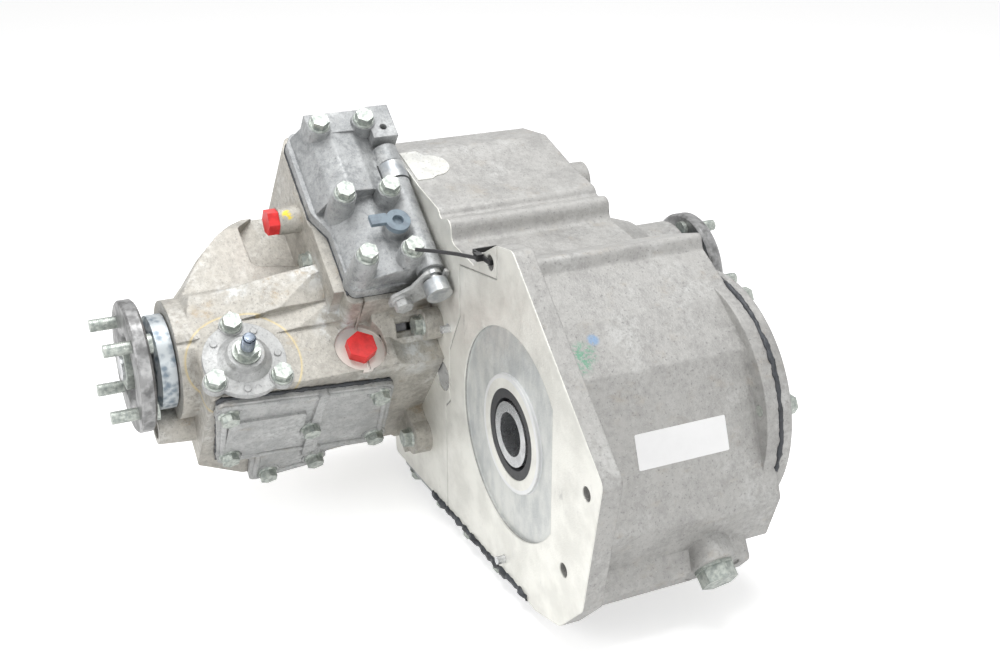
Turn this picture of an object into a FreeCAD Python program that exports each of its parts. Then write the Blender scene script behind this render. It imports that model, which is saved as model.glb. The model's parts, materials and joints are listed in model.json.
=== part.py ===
import FreeCAD, Part
import math
import os

# Two-speed transfer case of a four-wheel-drive car, resting level on its sump plate.
# Frame: origin at the centre of the input bore on the gearbox mating face.
# -Y points forward out of the mating face, +X to the left of the car, +Z up.
# Lengths are millimetres, angles degrees.

V = FreeCAD.Vector
ORIGIN = V(0, 0, 0)
ALONG_Y = V(0, 1, 0)

# ---- driving dimensions -------------------------------------------------------
CASE_TILT = 38.0            # lean of the selector housing and side cover about Y

# gear train
MODULE = 3.0
INPUT_TEETH = 34
DRIVEN_TEETH = 40           # intermediate gear that the input gear drives
HIGH_PINION_TEETH = 38
LOW_PINION_TEETH = 20
HIGH_TEETH = 39
LOW_TEETH = 57
TOOTH_BACKLASH = 0.45
OUTPUT_X = -200.3
OUTPUT_Z = 20.0
LOW_Y = 12.0                # front face of the low output gear
GEAR_WIDTH = 26.0
DRIVEN_Y = 44.0
DRIVEN_WIDTH = 34.0
HIGH_Y = 92.0
HIGH_WIDTH = 24.0

# main case
CASE_DEPTH = 140.0
BARREL_DEPTH = 172.0
FLANGE_THICK = 16.0
RECESS_R = 82.0
RECESS_DEPTH = 3.0
RING_R = 45.7
BARREL_BORE_R = 78.0
SUMP_Z = -124.0             # machined face that the sump plate closes
SUMP_THICK = 6.0
GASKET = 0.8

# input shaft
INPUT_SHAFT_R = 25.0
INPUT_SPLINE_R = 17.0
SEAL_R = 35.0
SEAL_WIDTH = 9.0
INPUT_BEARING_R = 40.0
BEARING_WIDTH = 18.0
INPUT_BEARING_Y = 14.0
INPUT_REAR_BEARING_Y = 150.0

# intermediate shaft
INTERMEDIATE_SHAFT_R = 12.5
NEEDLE_R = 2.5

# centre differential and output shafts
DIFF_R = 46.0
DIFF_FRONT = -64.0
DIFF_REAR = 6.0
DIFF_TUBE_R = 26.0
DIFF_BEARING_R = 44.0
OUTPUT_SHAFT_R = 15.0
SHAFT_GAP = 0.05            # radial clearance of a running fit
HUB_R = 40.0
HUB_Y = 52.0
HUB_WIDTH = 26.0
SLEEVE_R = 49.0
SLEEVE_WIDTH = 24.0
SLEEVE_REST_Y = 63.0
DOG_R = 36.0
LOCK_TRAVEL = 10.0

# front output housing
FRONT_BELL_R = 110.0
FRONT_BELL_LENGTH = 119.0
NECK_R = 48.0
NECK_START = -188.0
NECK_END = -205.0
REAR_NECK_END = 263.0
BLOCK_U = -104.0            # machined side face under the side cover
BLOCK_TOP_N = -56.0         # face of the diff lock cover
HOUSING_FLANGE = 14.0

# flanges (propshaft joints)
FLANGE_R = 53.0
FLANGE_PCD = 79.4
FLANGE_STUD_R = 5.0
FLANGE_DISC = 12.0
FRONT_FACE_Y = -237.7
REAR_FACE_Y = 289.2
STUD_LENGTH = 20.4
FRONT_STUD_TURN = 45.0      # angle of the first stud about the output axis
REAR_STUD_TURN = 0.0
STUD_SHANK_R = 5.4          # the serrated shank pressed into the flange
SPIGOT_R = 27.0

# selector gear
SELECTOR_X = -217.3
SELECTOR_Z = 116.5
SELECTOR_R = 7.0
LOCK_SHAFT_U = -135.5
LOCK_SHAFT_N = -151.5
LOCK_SHAFT_R = 6.0
SPINDLE_U = -129.0
SPINDLE_Y = -160.3
SPINDLE_R = 5.0
CROSS_Y = -12.0
CROSS_N = 0.0
CROSS_R = 8.0

# top selector housing
TOP_GASKET_N = -25.0
TOP_HEAD_N = 16.0
TOP_BOLT_U = (-290.0, -221.0, -162.0)
TOP_BOLT_Y = (-63.5, -26.0)

# fasteners
M8_R = 4.0
M8_HEAD_R = 8.8
M8_HEX = 13.0
M8_HEAD = 7.5
BOLT_GRIP = 22.0


# ---- frames -------------------------------------------------------------------
TILT = math.radians(CASE_TILT)


def place(u, n):
    """Case coordinates (u, n) as level coordinates (x, z)."""
    return (u * math.cos(TILT) + n * math.sin(TILT),
            n * math.cos(TILT) - u * math.sin(TILT))


def lean(shape):
    """A shape built in the case frame (u, y, n), turned into the level frame."""
    turned = shape.copy()
    turned.rotate(ORIGIN, ALONG_Y, CASE_TILT)
    return turned


# ---- shape helpers ------------------------------------------------------------
def rod(radius, start, end, x=0.0, z=0.0):
    """Cylinder along Y between two stations."""
    return Part.makeCylinder(radius, end - start, V(x, start, z), ALONG_Y)


def tube(outer, inner, start, end, x=0.0, z=0.0):
    return rod(outer, start, end, x, z).cut(rod(inner, start - 1, end + 1, x, z))


def post(radius, low, high, u, y):
    """Cylinder along the third axis of the frame in use."""
    return Part.makeCylinder(radius, high - low, V(u, y, low), V(0, 0, 1))


def spoke(radius, start, end, y, n):
    """Cylinder along the first axis of the frame in use."""
    return Part.makeCylinder(radius, end - start, V(start, y, n), V(1, 0, 0))


def box(low, high):
    size = [high[i] - low[i] for i in range(3)]
    return Part.makeBox(size[0], size[1], size[2], V(low[0], low[1], low[2]))


def outline(points, corner, lift):
    """Closed wire through 2-D points with every corner rounded."""
    edges = []
    tangents = []
    count = len(points)
    for i in range(count):
        here = V(points[i][0], points[i][1], 0)
        before = V(points[i - 1][0], points[i - 1][1], 0)
        after = V(points[(i + 1) % count][0], points[(i + 1) % count][1], 0)
        into = (before - here)
        out = (after - here)
        half = into.getAngle(out) / 2.0
        reach = min(into.Length, out.Length) * 0.45
        radius = min(corner, reach * math.tan(half))
        setback = radius / math.tan(half)
        first = here + into.normalize() * setback
        last = here + out.normalize() * setback
        bisector = (into + out).normalize()
        middle = here + bisector * (radius / math.sin(half) - radius)
        tangents.append((first, middle, last))
    for i in range(count):
        first, middle, last = tangents[i]
        edges.append(Part.Arc(lift(first), lift(middle), lift(last)).toShape())
        edges.append(Part.LineSegment(lift(last), lift(tangents[(i + 1) % count][0])).toShape())
    return Part.Wire(edges)


def prism_y(points, corner, start, end):
    """Rounded outline in (x, z), extruded along Y."""
    wire = outline(points, corner, lambda p: V(p.x, start, p.y))
    return Part.Face(wire).extrude(V(0, end - start, 0))


def prism_x(points, corner, start, end):
    """Rounded outline in (y, z), extruded along the first axis."""
    wire = outline(points, corner, lambda p: V(start, p.x, p.y))
    return Part.Face(wire).extrude(V(end - start, 0, 0))


def prism_z(points, corner, start, end):
    """Rounded outline in (x, y), extruded along the third axis."""
    wire = outline(points, corner, lambda p: V(p.x, p.y, start))
    return Part.Face(wire).extrude(V(0, 0, end - start))


def turned(profile, x=0.0, z=0.0):
    """Solid of revolution about a Y axis, from (radius, y) points."""
    points = [V(x + r, y, z) for r, y in profile]
    wire = Part.makePolygon(points + [points[0]])
    return Part.Face(wire).revolve(V(x, 0, z), ALONG_Y, 360)


def join(shapes):
    whole = shapes[0]
    for shape in shapes[1:]:
        whole = whole.fuse(shape)
    return whole.removeSplitter()


def carve(shape, tools):
    for tool in tools:
        shape = shape.cut(tool)
    return shape


def export(name, shapes):
    """Write one node; a list of shapes is a group of separate solids."""
    group = shapes if isinstance(shapes, list) else [shapes]
    solids = []
    for shape in group:
        solids.extend(shape.Solids)
    body = solids[0] if len(solids) == 1 else Part.makeCompound(solids)
    body.exportStep("parts/%s.step" % name)


# ---- gears --------------------------------------------------------------------
def tooth_ring(teeth, start, end, x, z, turn, bore):
    """Spur gear: straight-flanked teeth on a rim, with backlash at the pitch line."""
    pitch = MODULE * teeth / 2.0
    tip = pitch + MODULE
    root = pitch - 1.3 * MODULE
    step = 2 * math.pi / teeth
    half_pitch = (math.pi * MODULE / 2.0 - TOOTH_BACKLASH) / 2.0 / pitch
    half_tip = half_pitch - 0.36 * MODULE / tip
    half_root = half_pitch + 0.42 * MODULE / root
    points = []
    for i in range(teeth):
        middle = turn + i * step
        for radius, angle in ((root, middle - half_root), (tip, middle - half_tip),
                              (tip, middle + half_tip), (root, middle + half_root)):
            points.append(V(x + radius * math.cos(angle), start, z + radius * math.sin(angle)))
    wire = Part.makePolygon(points + [points[0]])
    gear = Part.Face(wire).extrude(V(0, end - start, 0))
    return gear.cut(rod(bore, start - 1, end + 1, x, z))


def mesh_turn(driver_turn, driver_teeth, teeth, direction):
    """Turn that puts a tooth gap of the second gear on the driver's tooth, in the
    direction (radians) of the line from the driver's axis to the gear's axis."""
    step = 2 * math.pi / driver_teeth
    offset = ((direction - driver_turn) / step) % 1.0
    own_step = 2 * math.pi / teeth
    return direction + math.pi + (offset + 0.5) * own_step


def intermediate_axis():
    """Axis of the intermediate shaft, from its distances to the input and output axes."""
    near = MODULE * (INPUT_TEETH + DRIVEN_TEETH) / 2.0
    far = MODULE * (LOW_PINION_TEETH + LOW_TEETH) / 2.0
    span = math.hypot(OUTPUT_X, OUTPUT_Z)
    along = (near * near - far * far + span * span) / (2 * span)
    drop = math.sqrt(near * near - along * along)
    ux = OUTPUT_X / span
    uz = OUTPUT_Z / span
    return (ux * along - uz * drop, uz * along + ux * drop)


MID_X, MID_Z = intermediate_axis()
TO_INPUT = math.atan2(-MID_Z, -MID_X)
TO_OUTPUT = math.atan2(OUTPUT_Z - MID_Z, OUTPUT_X - MID_X)


# ---- fasteners ----------------------------------------------------------------
def flange_bolt(seat, outward, grip=BOLT_GRIP, shank=M8_R, head_r=M8_HEAD_R, hexagon=M8_HEX):
    """Flange-head bolt: seat point under the head, outward direction of the head."""
    corner = hexagon / math.sqrt(3)
    points = [V(corner * math.cos(math.radians(60 * i)), corner * math.sin(math.radians(60 * i)), 1.8)
              for i in range(7)]
    head = Part.Face(Part.makePolygon(points)).extrude(V(0, 0, M8_HEAD - 1.8))
    collar = Part.makeCone(head_r, head_r - 0.8, 1.8)
    stem = Part.makeCylinder(shank, grip, V(0, 0, -grip))
    bolt = head.fuse(collar).fuse(stem).removeSplitter()
    bolt.Placement = FreeCAD.Placement(seat, FreeCAD.Rotation(V(0, 0, 1), outward))
    return bolt


def bolt_hole(seat, outward, grip=BOLT_GRIP, shank=M8_R):
    """Clearance the size of a bolt's stem, for the pieces it passes through."""
    return Part.makeCylinder(shank, grip + 0.5, seat + outward * 0.01, outward * -1)


def leaned(u, y, n):
    x, z = place(u, n)
    return V(x, y, z)


UP_N = leaned(0, 0, 1)
OUT_U = leaned(1, 0, 0)
FORWARD = V(0, -1, 0)
REARWARD = V(0, 1, 0)
DOWN = V(0, 0, -1)


# ---- where the fasteners go ---------------------------------------------------
def ring_of(radius, angles, y, x, z):
    return [V(x + radius * math.cos(math.radians(a)), y, z + radius * math.sin(math.radians(a)))
            for a in angles]


TOP_BOLTS = [leaned(u, y, TOP_HEAD_N) for u in TOP_BOLT_U for y in TOP_BOLT_Y]
FRONT_BOLTS = ring_of(101.0, (112, 152, 190, 228, 262, 291), -HOUSING_FLANGE, OUTPUT_X, OUTPUT_Z)
FRONT_BOLTS.append(V(OUTPUT_X + 67.0, -HOUSING_FLANGE, OUTPUT_Z + 21.0))
SIDE_BOLTS_YN = ((-178, -78), (-170, -150), (-132, -199), (-92, -190), (-105, -128),
                 (-52, -92), (-42, -168))
SIDE_PLATE = 6.0
SIDE_SEAT_U = BLOCK_U + GASKET + SIDE_PLATE
SIDE_BOLTS = [leaned(SIDE_SEAT_U, y, n) for y, n in SIDE_BOLTS_YN]
FINGER_PLATE = 6.0
FINGER_BOLT_R = 31.0
FINGER_ANGLES = (50, 185, 300)
FINGER_SEAT_N = BLOCK_TOP_N + FINGER_PLATE
FINGER_BOLTS = [leaned(SPINDLE_U + FINGER_BOLT_R * math.cos(math.radians(a)),
                       SPINDLE_Y + FINGER_BOLT_R * math.sin(math.radians(a)), FINGER_SEAT_N)
                for a in FINGER_ANGLES]
SUMP_LOW = SUMP_Z - GASKET - SUMP_THICK
SUMP_X = (-205.0, -148.0, -91.0, -34.0)
SUMP_Y = (10.0, 130.0)
SUMP_BOLTS = [V(x, y, SUMP_LOW) for x in SUMP_X for y in SUMP_Y]
SUMP_BOLTS += [V(x, (SUMP_Y[0] + SUMP_Y[1]) / 2.0, SUMP_LOW) for x in (-212.0, -8.0)]
BARREL_COVER = 9.0
COVER_SEAT_Y = BARREL_DEPTH + GASKET + BARREL_COVER
COVER_R = 98.0
COVER_BOLTS = ring_of(89.0, (15, 75, 135, 195, 255, 315), COVER_SEAT_Y, 0, 0)
REAR_PLATE = 14.0
REAR_SEAT_Y = CASE_DEPTH + GASKET + REAR_PLATE
REAR_BOLT_R = 101.0
REAR_HEAD_ROOM = 13.2
REAR_BOLTS = ring_of(REAR_BOLT_R, (30, 75, 125, 170, 215, 260, 305, 350), REAR_SEAT_Y,
                     OUTPUT_X, OUTPUT_Z)
os.makedirs("parts", exist_ok=True)

# ---- main case ----------------------------------------------------------------
CASE_OUTLINE = ((-262, 157), (-217, 161), (-168, 146), (-128, 137.5), (-124, 131), (-105, 136.5),
                (-103, 118), (-60, 112), (0, 60), (60, -100), (22, -118), (22, SUMP_Z),
                (-236, SUMP_Z), (-236, -112), (-272, -66), (-304, -20), (-304, 60), (-288, 122))
BARREL_OUTLINE = ((-19, 126.5), (-15.5, 114.7), (27.8, 91), (64.2, 63.7), (103.7, -42.5),
                  (90.4, -81), (40, -104), (-40, -104), (-70, -60), (-70, 110))
FLANGE_OUTLINE = ((-24, 140), (2, 144), (136, 24), (114, -86), (82, -118), (43, -128),
                  (10, SUMP_Z), (-110, SUMP_Z), (-110, 60), (-52, 124))
FACE_EDGE = ((-22, 170), (-22, 114), (-88, 104), (-88, 62), (-109, 25), (-109, -20), (-118, -28),
             (-118, -132))      # where the gearbox face ends and the front housing's joint face begins
FACE_GROOVE = 1.2
LUG_HOLE = (-33.6, 124.0)
MOUNT_HOLES = ((115.7, 8.4), (86.0, -68.0))
MOUNT_HOLE_R = 5.5
DOWEL_HOLES = ((-110.0, 44.0), (-9.0, -112.0))
DOWEL_HOLE_R = 3.2
CORE_PLUG = (-124.0, -3.0)
CORE_PLUG_R = 12.6
OUTPUT_CAVITY_R = 92.0
FRONT_OPENING_R = 62.0
REAR_OPENING_R = 88.0
INTERMEDIATE_CAVITY_R = 66.5
CASE_FRONT_WALL = 10.0
CASE_REAR_WALL = 12.0
DRAIN_R = 11.0
DRAIN_Y = 118.0
DRAIN_SEAT_U = 134.0
DRAIN_N = -8.0
BREATHER_U = -190.0
BREATHER_Y = -29.0
BREATHER_N = 11.5

barrel_inner_start = INPUT_BEARING_Y + BEARING_WIDTH + 4.0
cavity_end = CASE_DEPTH - CASE_REAR_WALL
rail = prism_y(((60, -78), (92, -72), (102, -90), (88, -106), (58, -102)), 5, FLANGE_THICK, 150)
drain_boss = lean(spoke(19, 104, DRAIN_SEAT_U, DRAIN_Y, DRAIN_N))
case_blank = join([
    prism_y(CASE_OUTLINE, 7, 0, CASE_DEPTH),
    prism_y(BARREL_OUTLINE, 5, 0, BARREL_DEPTH),
    prism_y(FLANGE_OUTLINE, 9, 0, FLANGE_THICK),
    rod(COVER_R, BARREL_DEPTH - 12, BARREL_DEPTH),
    rail,
    drain_boss,
])
recess = rod(RECESS_R, -1, RECESS_DEPTH).cut(tube(RING_R, 1, -2, RECESS_DEPTH + 1))
recess = recess.cut(box((66, -3, -120), (120, RECESS_DEPTH + 1, 120)))
far_side = [(x - FACE_GROOVE, z + FACE_GROOVE) for x, z in reversed(FACE_EDGE)]
face_groove = prism_y(list(FACE_EDGE) + far_side, 0.1, -1, FACE_GROOVE)
selector_tunnel = rod(13, CASE_FRONT_WALL, cavity_end, SELECTOR_X, SELECTOR_Z)
case_cuts = [
    recess,
    face_groove,
    rod(SEAL_R, -1, SEAL_WIDTH + 1),
    rod(INPUT_SHAFT_R + 3, SEAL_WIDTH, INPUT_BEARING_Y + 1),
    rod(INPUT_BEARING_R, INPUT_BEARING_Y, barrel_inner_start + 1),
    rod(BARREL_BORE_R, barrel_inner_start, BARREL_DEPTH + 1),
    rod(OUTPUT_CAVITY_R, CASE_FRONT_WALL, cavity_end, OUTPUT_X, OUTPUT_Z),
    rod(FRONT_OPENING_R, -1, CASE_FRONT_WALL + 1, OUTPUT_X, OUTPUT_Z),
    rod(REAR_OPENING_R, cavity_end - 1, CASE_DEPTH + 1, OUTPUT_X, OUTPUT_Z),
    rod(INTERMEDIATE_CAVITY_R, CASE_FRONT_WALL, cavity_end, MID_X, MID_Z),
    rod(INTERMEDIATE_SHAFT_R, 3, CASE_DEPTH + 1, MID_X, MID_Z),
    box((-190, 17, SUMP_Z - 1), (-20, 123, MID_Z)),
    selector_tunnel,
    rod(SELECTOR_R + SHAFT_GAP, -1, CASE_DEPTH + 1, SELECTOR_X, SELECTOR_Z),
    rod(6, -1, FLANGE_THICK + 1, LUG_HOLE[0], LUG_HOLE[1]),
    rod(CORE_PLUG_R, -1, CASE_FRONT_WALL + 1, CORE_PLUG[0], CORE_PLUG[1]),
    lean(spoke(DRAIN_R, 70, DRAIN_SEAT_U + 1, DRAIN_Y, DRAIN_N)),
    lean(spoke(23, DRAIN_SEAT_U, DRAIN_SEAT_U + 40, DRAIN_Y, DRAIN_N)),
]
for x, z in MOUNT_HOLES:
    case_cuts.append(rod(MOUNT_HOLE_R, -1, FLANGE_THICK + 1, x, z))
for x, z in DOWEL_HOLES:
    case_cuts.append(rod(DOWEL_HOLE_R, -1, CASE_FRONT_WALL - 2, x, z))
for seat in FRONT_BOLTS:
    case_cuts.append(bolt_hole(seat, FORWARD))
for seat in SUMP_BOLTS:
    case_cuts.append(bolt_hole(seat, DOWN))
for seat in COVER_BOLTS + REAR_BOLTS:
    case_cuts.append(bolt_hole(seat, REARWARD))
for seat in REAR_BOLTS:
    case_cuts.append(rod(M8_HEAD_R + 1.2, seat.y, seat.y + REAR_HEAD_ROOM, seat.x, seat.z))
main_case = carve(case_blank, case_cuts)
export("main_case", main_case)
core_plug = turned(((0, 1), (CORE_PLUG_R, 1), (CORE_PLUG_R, 8), (CORE_PLUG_R - 2, 8),
                    (CORE_PLUG_R - 2, 3), (0, 3)), CORE_PLUG[0], CORE_PLUG[1])
dowels = [rod(DOWEL_HOLE_R, -7, CASE_FRONT_WALL - 2, x, z) for x, z in DOWEL_HOLES]
drain_points = [(12.5 / math.cos(math.radians(30)) * math.cos(math.radians(60 * i + 30)) + DRAIN_Y,
                 12.5 / math.cos(math.radians(30)) * math.sin(math.radians(60 * i + 30)) + DRAIN_N)
                for i in range(6)]
drain_head = prism_x(drain_points, 0.6, DRAIN_SEAT_U + 2, DRAIN_SEAT_U + 13)
export("drain_plug", lean(join([drain_head, spoke(15, DRAIN_SEAT_U, DRAIN_SEAT_U + 2.2, DRAIN_Y, DRAIN_N),
                                spoke(DRAIN_R, DRAIN_SEAT_U - 16, DRAIN_SEAT_U + 1, DRAIN_Y, DRAIN_N)])))

# ---- sump ---------------------------------------------------------------------
SUMP_OUTLINE = ((-232, 3), (18, 3), (18, CASE_DEPTH - 3), (-232, CASE_DEPTH - 3))
sump_holes = [bolt_hole(seat, DOWN) for seat in SUMP_BOLTS]
sump_window = box((-190, 17, SUMP_Z - 2), (-20, 123, SUMP_Z + 1))
export("sump_plate", carve(prism_z(SUMP_OUTLINE, 14, SUMP_LOW, SUMP_Z - GASKET), sump_holes))
sump_gasket = carve(prism_z(SUMP_OUTLINE, 14, SUMP_Z - GASKET, SUMP_Z),
                    sump_holes + [sump_window, main_case])
sump_bolts = [flange_bolt(seat, DOWN) for seat in SUMP_BOLTS]

# ---- barrel cover (power take-off cover) --------------------------------------
cover_holes = [bolt_hole(seat, REARWARD) for seat in COVER_BOLTS]
bearing_boss_r = INPUT_BEARING_R + 7.0
cover = turned(((0, COVER_SEAT_Y + 4), (60, COVER_SEAT_Y + 4), (66, COVER_SEAT_Y), (COVER_R, COVER_SEAT_Y),
                (COVER_R, BARREL_DEPTH + GASKET), (bearing_boss_r, BARREL_DEPTH + GASKET),
                (bearing_boss_r, INPUT_REAR_BEARING_Y), (INPUT_BEARING_R, INPUT_REAR_BEARING_Y),
                (INPUT_BEARING_R, INPUT_REAR_BEARING_Y + BEARING_WIDTH),
                (0, INPUT_REAR_BEARING_Y + BEARING_WIDTH)))
export("barrel_cover", carve(cover, cover_holes))
barrel_gasket = carve(tube(COVER_R, BARREL_BORE_R, BARREL_DEPTH, BARREL_DEPTH + GASKET), cover_holes)
barrel_bolts = [flange_bolt(seat, REARWARD) for seat in COVER_BOLTS]


# ---- bearings and seals -------------------------------------------------------
def bearing_cup(radius, start, x, z, wide_end):
    """Outer ring of a taper roller bearing; wide_end is +1 towards +Y."""
    thin, thick = radius - 4.0, radius - 8.0
    end = start + BEARING_WIDTH
    near, far = (thick, thin) if wide_end > 0 else (thin, thick)
    return turned(((near, start), (radius, start), (radius, end), (far, end)), x, z)


def bearing_cone(radius, bore, start, x, z, wide_end):
    """Inner ring with its rollers, clear of the cup by the roller play."""
    play = 0.4
    thin, thick = radius - 4.0 - play, radius - 8.0 - play
    end = start + BEARING_WIDTH
    near, far = (thick, thin) if wide_end > 0 else (thin, thick)
    return turned(((bore, start), (near, start), (far, end), (bore, end)), x, z)


def lip_seal(radius, bore, start, width, x, z):
    """Oil seal: metal can with a lip that leans on the shaft."""
    end = start + width
    return turned(((bore + 2.5, start), (radius, start), (radius, end), (radius - 2.5, end),
                   (radius - 2.5, start + 3), (bore + 3.5, start + 3), (bore + 1.2, end - 1),
                   (bore, end - 2)), x, z)


input_cups = [bearing_cup(INPUT_BEARING_R, INPUT_BEARING_Y, 0, 0, 1),
              bearing_cup(INPUT_BEARING_R, INPUT_REAR_BEARING_Y, 0, 0, -1)]
export("input_bearing_cones", [bearing_cone(INPUT_BEARING_R, INPUT_SHAFT_R, INPUT_BEARING_Y, 0, 0, 1),
                               bearing_cone(INPUT_BEARING_R, INPUT_SHAFT_R, INPUT_REAR_BEARING_Y, 0, 0,
                                            -1)])
input_seal = (lip_seal(SEAL_R, INPUT_SHAFT_R + 0.3, 0.5, SEAL_WIDTH, 0, 0))

# ---- input gear ---------------------------------------------------------------
input_shaft = rod(INPUT_SHAFT_R, 0, INPUT_REAR_BEARING_Y + BEARING_WIDTH - 1)
input_teeth = tooth_ring(INPUT_TEETH, DRIVEN_Y, DRIVEN_Y + DRIVEN_WIDTH, 0, 0, 0.0, INPUT_SHAFT_R - 2)
input_gear = join([input_shaft, input_teeth])
input_gear = input_gear.cut(rod(INPUT_SPLINE_R, 0, 72))
export("input_gear", input_gear)

# ---- intermediate cluster -----------------------------------------------------
cluster_bore = INTERMEDIATE_SHAFT_R + 2 * NEEDLE_R + 0.15
driven_turn = mesh_turn(0.0, INPUT_TEETH, DRIVEN_TEETH, TO_INPUT + math.pi)
cluster = [tooth_ring(DRIVEN_TEETH, DRIVEN_Y, DRIVEN_Y + DRIVEN_WIDTH, MID_X, MID_Z, driven_turn,
                      cluster_bore),
           tooth_ring(LOW_PINION_TEETH, LOW_Y, LOW_Y + GEAR_WIDTH, MID_X, MID_Z, driven_turn, cluster_bore),
           tooth_ring(HIGH_PINION_TEETH, HIGH_Y, HIGH_Y + HIGH_WIDTH, MID_X, MID_Z, driven_turn,
                      cluster_bore),
           tube(24, cluster_bore, LOW_Y + GEAR_WIDTH - 1, HIGH_Y + 1, MID_X, MID_Z)]
export("intermediate_gear", join(cluster))
needles = []
for start in (LOW_Y + 3, HIGH_Y + 3):
    for i in range(12):
        angle = 2 * math.pi * i / 12
        reach = INTERMEDIATE_SHAFT_R + NEEDLE_R + 0.07
        needles.append(rod(NEEDLE_R, start, start + 18, MID_X + reach * math.cos(angle),
                           MID_Z + reach * math.sin(angle)))
export("intermediate_needles", needles)
export("intermediate_shaft", rod(INTERMEDIATE_SHAFT_R, 3, CASE_DEPTH, MID_X, MID_Z))
export("intermediate_thrust_washers", [tube(23, INTERMEDIATE_SHAFT_R, CASE_FRONT_WALL,
                                            CASE_FRONT_WALL + 1.6, MID_X, MID_Z),
                                       tube(23, INTERMEDIATE_SHAFT_R, cavity_end - 3, cavity_end, MID_X,
                                            MID_Z)])

# ---- output gears, hub and sleeve ---------------------------------------------
low_turn = mesh_turn(driven_turn, LOW_PINION_TEETH, LOW_TEETH, TO_OUTPUT)
high_turn = mesh_turn(driven_turn, HIGH_PINION_TEETH, HIGH_TEETH, TO_OUTPUT)
gear_bore = DIFF_TUBE_R + SHAFT_GAP
low_dog = tube(DOG_R, gear_bore, LOW_Y + GEAR_WIDTH - 1, HUB_Y - 2, OUTPUT_X, OUTPUT_Z)
low_gear = join([tooth_ring(LOW_TEETH, LOW_Y, LOW_Y + GEAR_WIDTH, OUTPUT_X, OUTPUT_Z, low_turn,
                            gear_bore), low_dog])
web = tube(76, 46, LOW_Y - 1, LOW_Y + 6, OUTPUT_X, OUTPUT_Z)
low_gear = low_gear.cut(web)
export("low_output_gear", low_gear.cut(tube(76, 46, LOW_Y + GEAR_WIDTH - 6, LOW_Y + GEAR_WIDTH + 1,
                                            OUTPUT_X, OUTPUT_Z)))
high_dog = tube(DOG_R, gear_bore, HUB_Y + HUB_WIDTH + 2, HIGH_Y + 1, OUTPUT_X, OUTPUT_Z)
export("high_output_gear", join([tooth_ring(HIGH_TEETH, HIGH_Y, HIGH_Y + HIGH_WIDTH, OUTPUT_X, OUTPUT_Z,
                                            high_turn, gear_bore), high_dog]))


def splined(radius, depth, count, start, end, inner):
    """Ring with square splines on its outside."""
    points = []
    for i in range(count):
        middle = 2 * math.pi * i / count
        quarter = math.pi / count / 2.0
        for r, angle in ((radius - depth, middle - 1.6 * quarter), (radius, middle - quarter),
                         (radius, middle + quarter), (radius - depth, middle + 1.6 * quarter)):
            points.append(V(OUTPUT_X + r * math.cos(angle), start, OUTPUT_Z + r * math.sin(angle)))
    ring = Part.Face(Part.makePolygon(points + [points[0]])).extrude(V(0, end - start, 0))
    return ring.cut(rod(inner, start - 1, end + 1, OUTPUT_X, OUTPUT_Z)) if inner else ring


SPLINES = 24
SPLINE_DEPTH = 2.5
export("high_low_hub", splined(HUB_R, SPLINE_DEPTH, SPLINES, HUB_Y, HUB_Y + HUB_WIDTH, DIFF_TUBE_R))
sleeve = rod(SLEEVE_R, SLEEVE_REST_Y, SLEEVE_REST_Y + SLEEVE_WIDTH, OUTPUT_X, OUTPUT_Z)
sleeve = sleeve.cut(splined(HUB_R + 0.3, SPLINE_DEPTH, SPLINES, SLEEVE_REST_Y - 1,
                            SLEEVE_REST_Y + SLEEVE_WIDTH + 1, 0))
FORK_SLOT = 10.0
FORK_SLOT_R = SLEEVE_R - 5.0
slot_start = SLEEVE_REST_Y + (SLEEVE_WIDTH - FORK_SLOT) / 2.0
sleeve = sleeve.cut(tube(SLEEVE_R + 1, FORK_SLOT_R, slot_start, slot_start + FORK_SLOT, OUTPUT_X, OUTPUT_Z))
export("high_low_sleeve", sleeve)

# ---- centre differential ------------------------------------------------------
DIFF_CENTRE = (DIFF_FRONT + DIFF_REAR) / 2.0
DIFF_HOLLOW_R = DIFF_R - 6.0
DIFF_FLANGE_R = 58.0
DIFF_BORE_R = OUTPUT_SHAFT_R + SHAFT_GAP
DIFF_END_WALL = 7.0
DIFF_BOLT_R = 52.0
DIFF_PLY = 6.0
TUBE_END = 136.0
LOCK_DOG_R = 30.0
LOCK_DOG_START = -96.0
LOCK_DOG_END = -86.0
DIFF_BEARING_FRONT_Y = -84.0
DIFF_BEARING_REAR_Y = 118.0
SIDE_GEAR_TEETH = 16
PLANET_TEETH = 10
SIDE_PITCH_R = 29.0
PLANET_PITCH_R = SIDE_PITCH_R * PLANET_TEETH / SIDE_GEAR_TEETH
CROSS_PIN_R = 7.0


def about_output(profile):
    return turned(profile, OUTPUT_X, OUTPUT_Z)


diff_bolt_front = ring_of(DIFF_BOLT_R, range(0, 360, 45), DIFF_CENTRE - DIFF_PLY, OUTPUT_X, OUTPUT_Z)
diff_bolt_holes = [bolt_hole(seat, FORWARD, 2 * DIFF_PLY, 3.0) for seat in diff_bolt_front]
front_half = about_output((
    (DIFF_BORE_R, LOCK_DOG_END), (DIFF_TUBE_R, LOCK_DOG_END), (DIFF_TUBE_R, DIFF_FRONT),
    (DIFF_R, DIFF_FRONT), (DIFF_R, DIFF_CENTRE - DIFF_PLY), (DIFF_FLANGE_R, DIFF_CENTRE - DIFF_PLY),
    (DIFF_FLANGE_R, DIFF_CENTRE), (DIFF_HOLLOW_R, DIFF_CENTRE),
    (DIFF_HOLLOW_R, DIFF_FRONT + DIFF_END_WALL), (DIFF_BORE_R, DIFF_FRONT + DIFF_END_WALL)))
lock_dog = splined(LOCK_DOG_R, SPLINE_DEPTH, SPLINES, LOCK_DOG_START, LOCK_DOG_END, DIFF_BORE_R)
front_half = join([front_half, lock_dog])
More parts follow.
